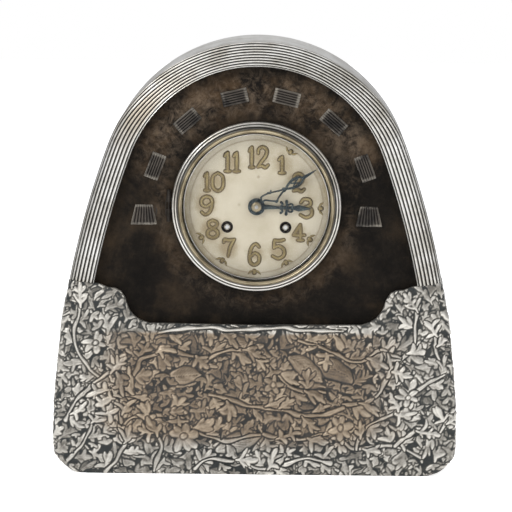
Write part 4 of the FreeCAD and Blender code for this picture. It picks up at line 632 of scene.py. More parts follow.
def makePanelPiece():
    right, _ = outlineRight(panel["inset"], 1.0)
    foot = np.linspace(-panel["halfFoot"], panel["halfFoot"], panel["footPoints"])
    bottom = np.stack([foot, np.full(panel["footPoints"], panel["inset"])], axis=1)
    around = np.vstack([right, (right * np.array([-1, 1]))[::-1], bottom])
    steps, rows = panel["steps"], panel["rows"]
    turn = np.linspace(-math.pi, math.pi, steps, endpoint=False)
    limit = reachOf(around, (0.0, dial["height"]), turn)
    share = np.linspace(0, 1, rows) ** 1.15
    radius = panel["inner"] + (limit[:, None] - panel["inner"]) * share
    x = radius * np.cos(turn)[:, None]
    z = dial["height"] + radius * np.sin(turn)[:, None]
    lift = dial["ridgeHeight"] * np.exp(-((radius - dial["ridge"]) / dial["ridgeWidth"]) ** 2)
    rng = np.random.default_rng(5)
    for _ in range(panel["waves"]):
        angle, scale, phase = rng.uniform(0, 6.28), rng.uniform(9, 34), rng.uniform(0, 6.28)
        lift += 0.035 * np.sin((x * math.cos(angle) + z * math.sin(angle)) / scale * 6.28 + phase)
    front = panel["front"] - 0.25 - np.maximum(lift, -0.2)
    worn = np.exp(-((np.hypot(x, z - dial["height"]) - 88) / 13) ** 2) * np.clip((z - 215) / 40, 0, 1)
    worn += 0.35 * np.exp(-((radius - dial["ridge"]) / 7) ** 2)
    outer = np.stack([x, front, z], axis=-1)
    back = np.stack([x[:, ::-1], np.full_like(x, panel["back"]), z[:, ::-1]], axis=-1)[:, [0, -1]]
    rings = np.concatenate([outer, back], axis=1)
    marks = np.concatenate([worn, np.zeros((steps, 2))], axis=1)
    solid = Solid(rings, [gridFaces(steps, rows + 2, True, True)], {"worn": marks.ravel()})
    addPiece("darkPanel", solid, "dark_panel", "case", ["front_panel"], 60)


makePanelPiece()
print("stage: panel made")


# reeded blocks round the dial

blocks = {"circle": 83.6, "shift": 2.4, "length": 19.6, "width": 10.9,
          "angles": [20.5, 49.2, 76.6, 103.4, 130.8, 159.5], "fanX": 84.0, "fanMiddle": 194.0,
          "fanTall": 15.0, "fanTop": 13.0, "fanFoot": 20.0, "reeds": 6, "fanReeds": 8, "rise": 1.5}


def reededBlock(centre, along, across, length, widthStart, widthEnd, count):
    samples, rows = 8, 15
    total = count * samples
    points, recess, edgeHighlight = [], [], []
    for row in range(rows):
        share = row / (rows - 1)
        place = (share - 0.5) * length
        width = widthStart + (widthEnd - widthStart) * share
        edge = min(share, 1 - share) * length
        ending = math.sqrt(max(0.0, 1 - (1 - min(1, edge / 1.6)) ** 2))
        ring, marks, rim = [], [], []
        for step in range(total + 1):
            side = (step / total - 0.5) * width
            # the border rows and columns are marked for a painted highlight along the block edges
            rim.append(1.0 if min(step, total - step) < 3 or row < 2 or row > rows - 3 else 0.0)
            wave = abs(math.sin(math.pi * step / samples)) ** 0.7
            height = blocks["rise"] * (0.35 + 0.65 * wave) * (0.25 + 0.75 * ending)
            position = centre + along * place + across * side
            ring.append((position[0], panel["front"] - 0.2 - height, position[1]))
            # 1 - wave marks the grooves and the sunk ends, which the finish paints dark as shade
            marks.append(1 - wave * ending)
        for step in (total, 0):
            side = (step / total - 0.5) * width
            position = centre + along * place + across * side
            ring.append((position[0], panel["front"] + 0.4, position[1]))
            marks.append(1)
            rim.append(0.3)
        points.append(ring)
        recess.append(marks)
        edgeHighlight.append(rim)
    return swept(points, {"recess": np.array(recess).ravel(), "edge": np.array(edgeHighlight).ravel()})


def makeBlocks():
    solids = []
    for degrees in blocks["angles"]:
        angle = math.radians(degrees)
        out = np.array([math.cos(angle), math.sin(angle)])
        centre = out * blocks["circle"] + np.array([blocks["shift"], dial["height"]])
        along = np.array([-out[1], out[0]])
        solids.append(reededBlock(centre, along, out, blocks["length"], blocks["width"], blocks["width"],
                                  blocks["reeds"]))
    addPiece("rayBlocks", joined(solids), "block", "case", ["ray_blocks"], 80)
    solids = []
    for side in (-1, 1):
        centre = np.array([side * blocks["fanX"], blocks["fanMiddle"]])
        solids.append(reededBlock(centre, np.array([0, 1.0]), np.array([1.0, 0]), blocks["fanTall"],
                                  blocks["fanFoot"], blocks["fanTop"], blocks["fanReeds"]))
    addPiece("fanBlocks", joined(solids), "block", "case", ["fan_blocks"], 80)


makeBlocks()
print("stage: blocks made")


# foliage apron: a relief drawn on the developed sheet, then wrapped round the case

apron = {"front": -62.3, "back": 61.6, "corner": 5.0, "proud": -0.2, "relief": 2.35, "sideRelief": 2.0,
         "cell": 0.4, "step": 0.55, "quickStep": 2.0, "sideStep": 0.85, "quickSideStep": 3.0,
         "frontLength": 290, "ear": 145.6, "widest": 151.9, "lowest": 0.05, "lipBack": -54.8, "lipDrop": 0.3,
         "sheet": 1.2, "insideRows": 22, "topX": [0, 83, 90, 95, 99, 101.5, 104, 108, 113, 119, 127, 160,
                                                  300],
         "topZ": [112.5, 113.3, 115.5, 118.5, 122.5, 126.5, 132, 137, 139.3, 139.8, 142.5, 145.6, 145.6]}


class Relief:
    def __init__(self, halfLength, height, cell):
        self.cell = cell
        self.left = -halfLength
        self.columns = int(2 * halfLength / cell) + 1
        self.rows = int(height / cell) + 1
        self.map = np.zeros((self.rows, self.columns))
        self.tone = np.zeros((self.rows, self.columns))
        self.rng = np.random.default_rng(11)

    def clump(self, strokes, gap=0.45, floor=0.1, tone=None):
        # the strokes of one leaf run together, and a narrow gap is sunk all round them
        lines = [curved(points, 0.7) for points, widths, top, vein in strokes]
        reach = max(max(widths) for _, widths, _, _ in strokes) + gap + 0.6
        low = np.min([line.min(0) for line in lines], axis=0) - reach
        high = np.max([line.max(0) for line in lines], axis=0) + reach
        c0, c1 = (int(np.clip((value - self.left) / self.cell, 0, self.columns))
                  for value in (low[0], high[0]))
        r0, r1 = (int(np.clip(value / self.cell, 0, self.rows)) for value in (low[1], high[1]))
        if r1 - r0 < 2 or c1 - c0 < 2:
            return
        gx = (self.left + np.arange(c0, c1) * self.cell)[None, :, None]
        gz = (np.arange(r0, r1) * self.cell)[:, None, None]
        height = np.zeros((r1 - r0, c1 - c0))
        beyond = np.full(height.shape, 99.0)
        groove = np.zeros(height.shape)
        for line, (_, widths, top, vein) in zip(lines, strokes):
            travel = np.concatenate([[0], np.cumsum(np.linalg.norm(np.diff(line, axis=0), axis=1))])
            width = np.maximum(np.interp(travel / travel[-1], np.linspace(0, 1, len(widths)), widths), 0.12)
            distance = np.hypot(gx - line[:, 0], gz - line[:, 1])
            nearest = np.argmin(distance / width, axis=2)
            away = np.take_along_axis(distance, nearest[..., None], 2)[..., 0]
            half = width[nearest]
            share = away / half
            height = np.maximum(height, top * np.clip(1 - share ** 2, 0, 1) ** 0.55)
            beyond = np.minimum(beyond, away - half)
            if vein:
                groove = np.maximum(groove, vein * np.exp(-(away / 0.3) ** 2) * (half > 0.7))
        part = self.map[r0:r1, c0:c1]
        inside = beyond < 0
        ring = (~inside) & (beyond < gap)
        part[ring] = np.minimum(part[ring], floor)
        part[inside] = np.maximum(height - groove, 0.15)[inside]
        self.tone[r0:r1, c0:c1][inside] = self.rng.uniform(-1, 1) if tone is None else tone

    def bent(self, start, angle, length, bend, count=4):
        points = [np.asarray(start, dtype=float)]
        for step in range(1, count + 1):
            turn = angle + bend * step / count
            points.append(points[-1] + length / count * np.array([math.cos(turn), math.sin(turn)]))
        return points

    def lobe(self, start, angle, length, width, top, bend=0.0, vein=0.3):
        widths = [width * share for share in (0.55, 0.95, 1.0, 0.95, 0.5)]
        return self.bent(start, angle, length, bend), widths, top, vein

    def leaf(self, start, angle, length, top, size=1.0, bend=0.0):
        rng = self.rng
        pairs = max(2, int(length / (4.6 * size)))
        spine = self.bent(start, angle, length, bend)
        line = curved(spine, 0.7)
        strokes = []
        for pair in range(pairs):
            share = (pair + 0.7) / (pairs + 0.4)
            place = line[int(share * (len(line) - 1))]
            turn = angle + bend * share
            reach = size * rng.uniform(6.0, 9.6) * (1.1 - 0.5 * share)
            for side in (-1, 1):
                lean = side * math.radians(rng.uniform(34, 64) * (1 - 0.3 * share))
                strokes.append(self.lobe(place, turn + lean, reach * rng.uniform(0.75, 1.2),
                                         size * rng.uniform(1.4, 2.05), top * rng.uniform(0.62, 1.0),
                                         side * rng.uniform(-0.9, 1.1), 0.35))
        strokes.append(self.lobe(line[-4], angle + bend, size * rng.uniform(5, 7.5), size * 1.9, top,
                                 rng.uniform(-0.5, 0.5), 0.35))
        strokes.append((spine, [0.9 * size, 1.8 * size, 1.8 * size, 1.2 * size], top * 0.9, 0.45))
        self.clump(strokes)

    def trefoil(self, place, angle, size, top):
        rng = self.rng
        self.clump([self.lobe(place, angle + lean, size * rng.uniform(4.2, 6.8), size * rng.uniform(1.5, 2.1),
                              top * rng.uniform(0.75, 1.05), lean * rng.uniform(0.1, 0.6))
                    for lean in (-0.95, 0.0, 0.95)], 0.5)

    def flower(self, centre, radius, top, petals):
        rng = self.rng
        spin = rng.uniform(0, 6.28)
        strokes = []
        for petal in range(petals):
            angle = spin + 6.283 * petal / petals + rng.uniform(-0.2, 0.2)
            start = centre + 0.2 * radius * np.array([math.cos(angle), math.sin(angle)])
            strokes.append(self.lobe(start, angle, radius * rng.uniform(0.75, 1.05), radius * 0.34,
                                     top * rng.uniform(0.65, 0.85), rng.uniform(-0.4, 0.4), 0.4))
        self.clump(strokes)
        self.clump([([centre - 0.3, centre + 0.3], [radius * 0.27] * 2, top, 0)], 0.35, top * 0.4)

    def veined(self, start, angle, length, width, top, bend):
        # one broad smooth leaf with engraved side veins
        spine = self.bent(start, angle, length, bend)
        self.clump([(spine, [width * 0.3, width * 0.85, width, width * 0.8, 0.3], top, 0.5)], 0.7)
        line = curved(spine, 0.7)
        for share in np.arange(0.12, 0.9, 0.085):
            place = line[int(share * (len(line) - 1))]
            turn = angle + bend * share
            for side in (-1, 1):
                length = width * 0.95 * math.sin(math.pi * min(1, share + 0.15)) + 1
                self.cutLine(self.bent(place, turn + side * 0.75, length, -side * 0.35), 0.32)

    def cutLine(self, points, depth):
        for x, z in curved(points, self.cell * 0.7):
            column, row = int(round((x - self.left) / self.cell)), int(round(z / self.cell))
            if 0 <= row < self.rows and 0 <= column < self.columns:
                self.map[row, column] = max(0.2, self.map[row, column] - depth)


def topAt(place):
    return np.interp(np.abs(place), apron["topX"], apron["topZ"])


stems = [
    [(-150, 4), (-128, 22), (-118, 46), (-100, 58), (-84, 50)],
    [(-112, 2), (-98, 20), (-99, 44), (-110, 64), (-128, 84), (-134, 110), (-128, 134)],
    [(-100, 34), (-84, 44), (-62, 46), (-44, 34), (-22, 26), (4, 30)],
    [(-76, 3), (-70, 22), (-84, 44), (-92, 66), (-84, 86), (-66, 92), (-34, 88)],
    [(-140, 40), (-126, 62), (-106, 76), (-92, 66)],
    [(-34, 88), (-14, 94), (8, 84), (28, 66), (52, 62)],
    [(-34, 60), (-10, 52), (18, 50), (44, 44), (66, 52)],
    [(-46, 6), (-18, 12), (12, 4), (38, 14), (58, 8)],
    [(4, 30), (30, 26), (54, 30), (76, 20), (104, 24), (126, 12)],
    [(34, 100), (58, 94), (76, 84), (92, 92), (112, 88)],
    [(66, 52), (86, 58), (98, 74), (118, 100), (122, 130)],
    [(76, 20), (88, 40), (108, 48), (122, 66), (142, 78)],
    [(104, 24), (124, 36), (138, 32), (150, 50)],
    [(142, 78), (136, 100), (142, 124)],
    [(-72, 107), (-46, 109.8), (-10, 109.4), (24, 110.2), (66, 108)],
]
sideStems = [
    [(150, 50), (170, 62), (196, 58), (214, 78), (244, 84), (266, 106)],
    [(152, 14), (182, 26), (212, 20), (240, 36), (270, 30)],
    [(142, 124), (166, 112), (190, 118), (214, 104), (214, 78)],
    [(182, 26), (196, 58)],
    [(240, 36), (252, 62), (244, 84)],
    [(190, 118), (220, 132), (250, 124), (272, 136)],
]


broadLeaves = [((-30, 99), -0.12, 44, 9), ((72, 72), 2.6, 32, 8), ((-26, 18), 0.5, 34, 7.5),
               ((26, 88), -0.4, 30, 7), ((-66, 72), 0.3, 26, 6.5), ((30, 42), 0.2, 26, 6.5)]
flowers = [((-52, 28), 10, 7), ((64, 36), 8, 6), ((-120, 98), 7, 6), ((114, 60), 7, 5), ((200, 84), 8, 6),
           ((-204, 88), 8, 6), ((14, 68), 6, 5)]
ground = {"leaves": 1500, "halfLength": 280, "height": 146, "gapStep": 4.2}


def flow(place):
    # the way the small leaves lie at a place
    return 1.9 * math.sin(place[0] / 37) + 1.6 * math.sin(place[1] / 24 + place[0] / 61) + 1.2


def paintRelief():
    canvas = Relief(ground["halfLength"] + 4, ground["height"] + 2, apron["cell"])
    rng = canvas.rng
    every = [np.array(stem, dtype=float) for stem in stems]
    for stem in sideStems:
        for side in (-1, 1):
            every.append(np.array(stem, dtype=float) * np.array([side, 1.0]))
    for _ in range(ground["leaves"]):
        place = np.array([rng.uniform(-ground["halfLength"], ground["halfLength"]),
                          rng.uniform(0, ground["height"])])
        canvas.leaf(place, flow(place) + rng.uniform(-0.9, 0.9), rng.uniform(8, 16), rng.uniform(0.95, 1.5),
                    rng.uniform(0.75, 1.15), rng.uniform(-1.0, 1.0))
    for start, angle, length, width in broadLeaves:
        canvas.veined(start, angle, length, width, 1.55, rng.uniform(-0.4, 0.4))
    for rank, index in enumerate(rng.permutation(len(every))):
        wobble = curved(every[index], 11)
        wobble = wobble + rng.uniform(-1.7, 1.7, wobble.shape)
        thick = rng.uniform(1.25, 1.75)
        top = 1.95 + 0.45 * rank / len(every)
        line = curved(wobble, 1.0)
        place = rng.uniform(2, 7)
        side = 1 if index % 2 else -1
        while place < len(line) - 3:
            here = line[int(place)]
            tangent = line[min(len(line) - 1, int(place) + 2)] - here
            angle = math.atan2(tangent[1], tangent[0]) + side * math.radians(rng.uniform(30, 75))
            canvas.leaf(here, angle, rng.uniform(8, 15), top * rng.uniform(0.78, 1.0), rng.uniform(0.85, 1.2),
                        rng.uniform(-0.9, 0.9))
            side = -side
            place += rng.uniform(10, 17)
        widths = thick * rng.uniform(0.5, 1.35, 18)
        canvas.clump([(wobble, widths, top, 0.3)], 0.55, 0.1, -1.3)
    for stem in every:
        line = curved(stem, 1.0)
        for place in rng.uniform(3, len(line) - 3, max(2, len(line) // 22)):
            here, after = line[int(place)], line[int(place) + 1]
            angle = math.atan2(after[1] - here[1], after[0] - here[0])
            angle += rng.choice([-1, 1]) * rng.uniform(0.3, 0.9)
            canvas.leaf(here, angle, rng.uniform(9, 15), rng.uniform(2.1, 2.5), rng.uniform(0.9, 1.2),
                        rng.uniform(-0.8, 0.8))
    for centre, radius, petals in flowers:
        canvas.flower(np.array(centre, dtype=float), radius, 2.4, petals)
    filled = 0
    for across in np.arange(-ground["halfLength"], ground["halfLength"], ground["gapStep"]):
        for up in np.arange(1, ground["height"], ground["gapStep"]):
            place = np.array([across, up]) + rng.uniform(-1.6, 1.6, 2)
            row = int(np.clip(place[1] / canvas.cell, 0, canvas.rows - 1))
            column = int((place[0] - canvas.left) / canvas.cell)
            near = canvas.map[max(0, row - 3):row + 4, max(0, column - 3):column + 4]
            if (near < 0.3).mean() > 0.9:
                filled += 1
                canvas.trefoil(place, rng.uniform(0, 6.28), rng.uniform(0.6, 0.95), rng.uniform(0.9, 1.5))
    print("gaps filled:", filled)
    canvas.clump([(np.array(stems[14], dtype=float), [1.3, 1.5, 1.4, 1.5, 1.0], 2.5, 0)], 0.55)
    print("relief filled:", round(float((canvas.map > 0.3).mean()), 3))
    return canvas


def blurred(values, reach):
    size = 2 * reach + 1
    for axis in (0, 1):
        padding = [(0, 0), (0, 0)]
        padding[axis] = (reach + 1, reach)
        total = np.cumsum(np.pad(values, padding, mode="edge"), axis=axis)
        if axis == 0:
            values = (total[size:] - total[:-size]) / size
        else:
            values = (total[:, size:] - total[:, :-size]) / size
    return values


def sampled(values, canvas, place, height):
    column = np.clip((place - canvas.left) / canvas.cell, 0, canvas.columns - 1.001)
    row = np.clip(height / canvas.cell, 0, canvas.rows - 1.001)
    c0, r0 = column.astype(int), row.astype(int)
    fc, fr = column - c0, row - r0
    return ((values[r0, c0] * (1 - fc) + values[r0, c0 + 1] * fc) * (1 - fr)
            + (values[r0 + 1, c0] * (1 - fc) + values[r0 + 1, c0 + 1] * fc) * fr)


def makeApron():
    canvas = paintRelief()
    steps = (("step", "sideStep"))
    fine, side = (apron[name] for name in steps)
    outline, normals = outlineRight(0.0, fine)
    keep = outline[:, 1] <= apron["ear"]
    outline, normals = outline[keep], normals[keep]
    corner, front = apron["corner"], apron["front"]
    deep = apron["back"] - front - corner
    # columns run round the case: a share of the front, the swing of the corner, the depth along a side
    wrapped = [(angle, 0.0) for angle in np.linspace(0, math.pi / 2, max(6, int(corner * 1.57 / fine)))[1:]]
    wrapped += [(math.pi / 2, depth) for depth in np.linspace(0, deep, int(deep / side))[1:]]
    columns = [(-1, *turned) for turned in wrapped[::-1]]
    columns += [(share, 0.0, None) for share in np.linspace(-1, 1, int(apron["frontLength"] / fine))]
    columns += [(1, *turned) for turned in wrapped]
    rows, count = len(outline), len(columns)
    grid, out = np.zeros((2, count, rows, 3))
    place, height, sheer = np.zeros((3, count, rows))
    for index, (share, swing, depth) in enumerate(columns):
        if depth is None:
            z = outline[:, 1] * topAt(share * (case["half"] - corner)) / outline[-1, 1]
            x = share * (np.interp(z, outline[:, 1], outline[:, 0]) + apron["proud"] - corner)
            y, along, strength = front, x, apron["relief"]
        else:
            z = outline[:, 1]
            x = share * (outline[:, 0] + apron["proud"] - corner + corner * math.sin(swing))
            y = front + corner - corner * math.cos(swing) + depth
            along = share * (case["half"] - corner + corner * swing + depth)
            strength = apron["relief"] + (apron["sideRelief"] - apron["relief"]) * math.sin(swing)
        grid[index, :, 0], grid[index, :, 1], grid[index, :, 2] = x, y, z
        out[index, :, 0] = share * normals[:, 0] * math.sin(swing)
        out[index, :, 1] = -math.cos(swing)
        out[index, :, 2] = normals[:, 1] * math.sin(swing)
        place[index], height[index], sheer[index] = along, z, strength
    warp = 0.9 * np.sin(place / 5.3 + 1.7 * np.sin(height / 7.1)) + 0.6 * np.sin(place / 2.9 + height / 3.7)
    lean = 0.9 * np.sin(height / 4.9 + 1.9 * np.sin(place / 8.3)) + 0.6 * np.sin(height / 2.7 - place / 4.1)

    def read(values):
        return sampled(values, canvas, place + warp * 0.7, height + lean * 0.7)

    relief = read(blurred(canvas.map, 1))
    cavity = read(blurred(blurred(canvas.map, 5), 5)) - relief
    edging = read(blurred(canvas.map, 2)) - relief
    tone = read(blurred(canvas.tone, 1))
    relief = relief * (1 + 0.10 * np.sin(place / 1.9 + 2 * np.sin(height / 2.3)))
    edge = np.minimum(1, (grid[:, -1:, 2] - grid[:, :, 2]) / 2.2)
    rim = np.sqrt(np.clip(1 - (1 - edge) ** 2, 0, 1))
    lift = np.minimum(relief / 2.6 * sheer, sheer) * (0.35 + 0.65 * rim)
    surface = grid + out * lift[..., None]
    surface[..., 0] = np.clip(surface[..., 0], -apron["widest"], apron["widest"])
    surface[..., 2] = np.maximum(surface[..., 2], apron["lowest"])
    lip = grid[:, -1:, :] - np.array([0, 0, apron["lipDrop"]])
    lip[..., 1] = np.maximum(lip[..., 1], apron["lipBack"])
    insideRows = (np.linspace(1, 0, apron["insideRows"]) * (rows - 1)).astype(int)
    inside = grid[:, insideRows, :] - out[:, insideRows, :] * apron["sheet"]
    inside[..., 2] = np.maximum(inside[..., 2], apron["lowest"] * 2)
    ring = np.concatenate([surface, lip, inside], axis=1)
    # painted shade, with patina in the hollows: darker in cavities and along the leaf edges, darkest on the
    # low ground
    shade = np.clip(0.42 + 0.085 * relief - 0.26 * cavity - 0.75 * edging, 0, 1)
    shade *= np.clip((relief - 0.12) / 0.55, 0.05, 1)
    centre = np.exp(-np.clip((np.abs(place + 8) - 62) / 48, 0, None) ** 2) * np.clip((height - 14) / 22, 0, 1)
    centre *= np.where(np.abs(place) < 150, 1, 0)
    centre *= np.clip((107.5 - height) / 4 + np.abs(place) / 200, 0.1, 1)
    tail = np.zeros((count, ring.shape[1] - rows))
    marks = {"relief": np.concatenate([shade, tail + 0.45 + 0.3 * shade[:, -3:-2]], axis=1).ravel(),
             "tone": np.concatenate([tone, tail], axis=1).ravel(),
             "centre": np.concatenate([centre, tail + centre[:, -1:]], axis=1).ravel()}
    addPiece("foliageApron", swept(ring, marks), "embossed_metal", "case", ["foliage_apron"],
             80)


backing = {"half": 146, "steps": 220, "front": -60.4, "back": -54.2, "low": 0.6, "below": 1.6, "aside": 2,
           "cornerFrom": 126, "cornerRadius": 22.4}


def makeApronBoard():
    right, _ = outlineRight(0.0, 1.0)
    right = right[right[:, 1] >= case["corner"]]
    front, back = backing["front"], backing["back"]
    rings = []
    for x in np.linspace(-backing["half"], backing["half"], backing["steps"]):
        away = abs(x)
        top = min(topAt(away * factor) for factor in (0.97, 1.0, 1.04)) - backing["below"]
        top = min(top, np.interp(-(away + backing["aside"]), -right[:, 0], right[:, 1]))
        low, beyond = backing["low"], away - backing["cornerFrom"]
        if beyond > 0:
            low = case["corner"] - math.sqrt(backing["cornerRadius"] ** 2 - beyond ** 2)
        rings.append([(x, front, low), (x, front, top), (x, back, top), (x, back, low)])
    addPiece("apronBoard", swept(rings), "carcass_wood", "case", ["apron_board"], 30)


makeApron()
makeApronBoard()
print("stage: apron made")


# bezel, sight ring, crystal, dial

# recess gives each point of the bezel profile a painted shade: the grooves and the inner wall are painted
# dark
bezel = {"profile": [(61.3, -54.3), (63.3, -54.3), (63.5, -54.8), (63.5, -56.6), (63.3, -57.9), (62.8, -58.7),
                     (62.2, -58.9), (61.6, -58.75), (61.35, -58.3), (61.15, -58.75), (60.7, -59.3),
                     (60.1, -59.5), (59.5, -59.3), (59.2, -58.9), (59.1, -66.0), (58.9, -66.7),
                     (57.6, -66.7), (57.6, -57.4), (61.3, -57.0)],
         "recess": [0.6, 0.3, 0.15, 0.0, 0.0, 0.05, 0.0, 0.25, 0.75, 0.25, 0.0, 0.0, 0.25, 0.8, 0.35, 0.4,
                    0.4, 0.9, 0.9]}
sight = {"profile": [(58.3, -66.8), (58.35, -67.4), (58.1, -67.8), (57.9, -67.7), (57.75, -68.3),
                     (57.2, -68.75), (56.6, -68.5), (56.3, -67.9), (56.1, -68.0), (55.8, -67.8),
                     (55.6, -66.8)]}
rimRing = {"profile": [(53.7, -55.3), (54.8, -55.3), (54.8, -59.6), (54.5, -59.95), (54.0, -59.95),
                       (53.7, -59.6)]}
knuckle = {"at": (-65.5, -56), "radius": 1.6, "sides": 20, "spans": ((-12, -4.5), (4.5, 12))}
centre = (0.0, dial["height"])


def makeBezel():
    recess = np.array(bezel["recess"])
    marks = {"recess": recess, "tarnish": np.full(len(recess), 0.15)}
    around = np.linspace(0, 2 * math.pi, knuckle["sides"], endpoint=False)
    (x, y), radius = knuckle["at"], knuckle["radius"]
    knuckles = [swept([[(x + radius * math.cos(a), y + radius * math.sin(a), dial["height"] + end)
                        for a in around]
                       for end in span]) for span in knuckle["spans"]]
    ring = lathed(bezel["profile"], centre, 200, marks)
    addPiece("bezelRing", ring, "silvered_metal", "bezel", ["bezel"], 50)
    addPiece("bezelKnuckles", joined(knuckles), "dark_metal", "bezel", ["bezel"], 50)
    addPiece("sightRing", lathed(sight["profile"], centre, 200), "gilt", "bezel", ["sight_ring"], 60)
    lens = [(0.05, -66.75), (57.2, -66.75), (57.2, -65.2), (56.4, -64.85), (0.05, -64.85)]
    addPiece("crystalDisc", lathed(lens, centre, 120), "crystal_glass", "bezel", ["crystal"],
             30)
    # painted shade at the back of the dial rim, darkest at its inner back corner
    marks = {"recess": np.array([0.8, 0.5, 0.2, 0, 0, 0.3]), "tarnish": np.full(6, 0.2)}
    addPiece("dialRim", lathed(rimRing["profile"], centre, 160, marks), "silvered_metal", "case",
             ["dial_rim"], 50)


makeBezel()

numerals = {
    12: ((259.7, 156.7), 15.0, 18.0), 1: ((282.7, 163.9), 5.4, 15.0), 2: ((299.2, 181.5), 10.0, 16.0),
    3: ((307.0, 207.0), 11.0, 16.0), 4: ((300.2, 231.2), 9.0, 14.5), 5: ((279.9, 248.0), 11.0, 16.5),
    6: ((256.0, 253.5), 10.0, 18.0), 7: ((230.6, 247.2), 10.0, 15.5), 8: ((214.2, 228.5), 10.0, 15.5),
    9: ((208.0, 205.2), 11.0, 16.0), 10: ((215.4, 181.5), 15.0, 16.0), 11: ((233.0, 161.5), 12.0, 17.0),
}
buds = [(291, 151), (321.5, 207), (311, 238), (287.5, 261.5), (256, 271), (224, 260), (203, 237)]
digitStrokes = {
    "0": [[(0.5, 1), (0.15, 0.82), (0.08, 0.5), (0.15, 0.18), (0.5, 0), (0.85, 0.18), (0.92, 0.5),
           (0.85, 0.82), (0.5, 1)]],
    "1": [[(0.5, 0.98), (0.5, 0.5), (0.5, 0.03)], [(0.5, 0.97), (0.28, 0.9), (0.08, 0.8)],
          [(0.15, 0.03), (0.85, 0.03)]],
    "2": [[(0.16, 0.7), (0.2, 0.9), (0.5, 1), (0.8, 0.87), (0.76, 0.6), (0.45, 0.33), (0.14, 0.05)],
          [(0.14, 0.05), (0.45, 0.1), (0.7, 0.02), (0.92, 0.14)]],
    "3": [[(0.14, 0.82), (0.34, 1), (0.72, 0.96), (0.8, 0.72), (0.42, 0.56)],
          [(0.42, 0.56), (0.85, 0.45), (0.86, 0.14), (0.5, 0), (0.12, 0.14)]],
    "4": [[(0.62, 0.02), (0.62, 0.5), (0.62, 0.98)], [(0.6, 0.98), (0.3, 0.62), (0.04, 0.34)],
          [(0.04, 0.34), (0.5, 0.32), (0.96, 0.34)], [(0.4, 0.02), (0.84, 0.02)]],
    "5": [[(0.22, 0.97), (0.55, 0.94), (0.86, 1)], [(0.22, 0.97), (0.2, 0.75), (0.18, 0.56)],
          [(0.18, 0.56), (0.5, 0.66), (0.84, 0.5), (0.86, 0.18), (0.5, 0), (0.1, 0.12)]],
    "6": [[(0.84, 0.86), (0.6, 1), (0.3, 0.85), (0.14, 0.45), (0.2, 0.12), (0.5, 0), (0.82, 0.14),
           (0.84, 0.42), (0.55, 0.56), (0.26, 0.42)]],
    "7": [[(0.1, 0.82), (0.16, 0.97), (0.5, 0.93), (0.9, 0.98)], [(0.9, 0.98), (0.6, 0.55), (0.44, 0.03)]],
    "8": [[(0.5, 1), (0.2, 0.88), (0.24, 0.66), (0.5, 0.53), (0.84, 0.36), (0.84, 0.12), (0.5, 0),
           (0.15, 0.12), (0.16, 0.36), (0.5, 0.53), (0.78, 0.68), (0.8, 0.88), (0.5, 1)]],
    "9": [[(0.16, 0.14), (0.4, 0), (0.7, 0.15), (0.86, 0.55), (0.8, 0.88), (0.5, 1), (0.18, 0.86),
           (0.16, 0.58), (0.45, 0.44), (0.74, 0.58)]],
}


def onDial(pixel):
    return np.array([(pixel[0] - dial["unitsAcross"]) * dial["unit"],
                     dial["height"] + (dial["unitsUp"] - pixel[1]) * dial["unit"]])


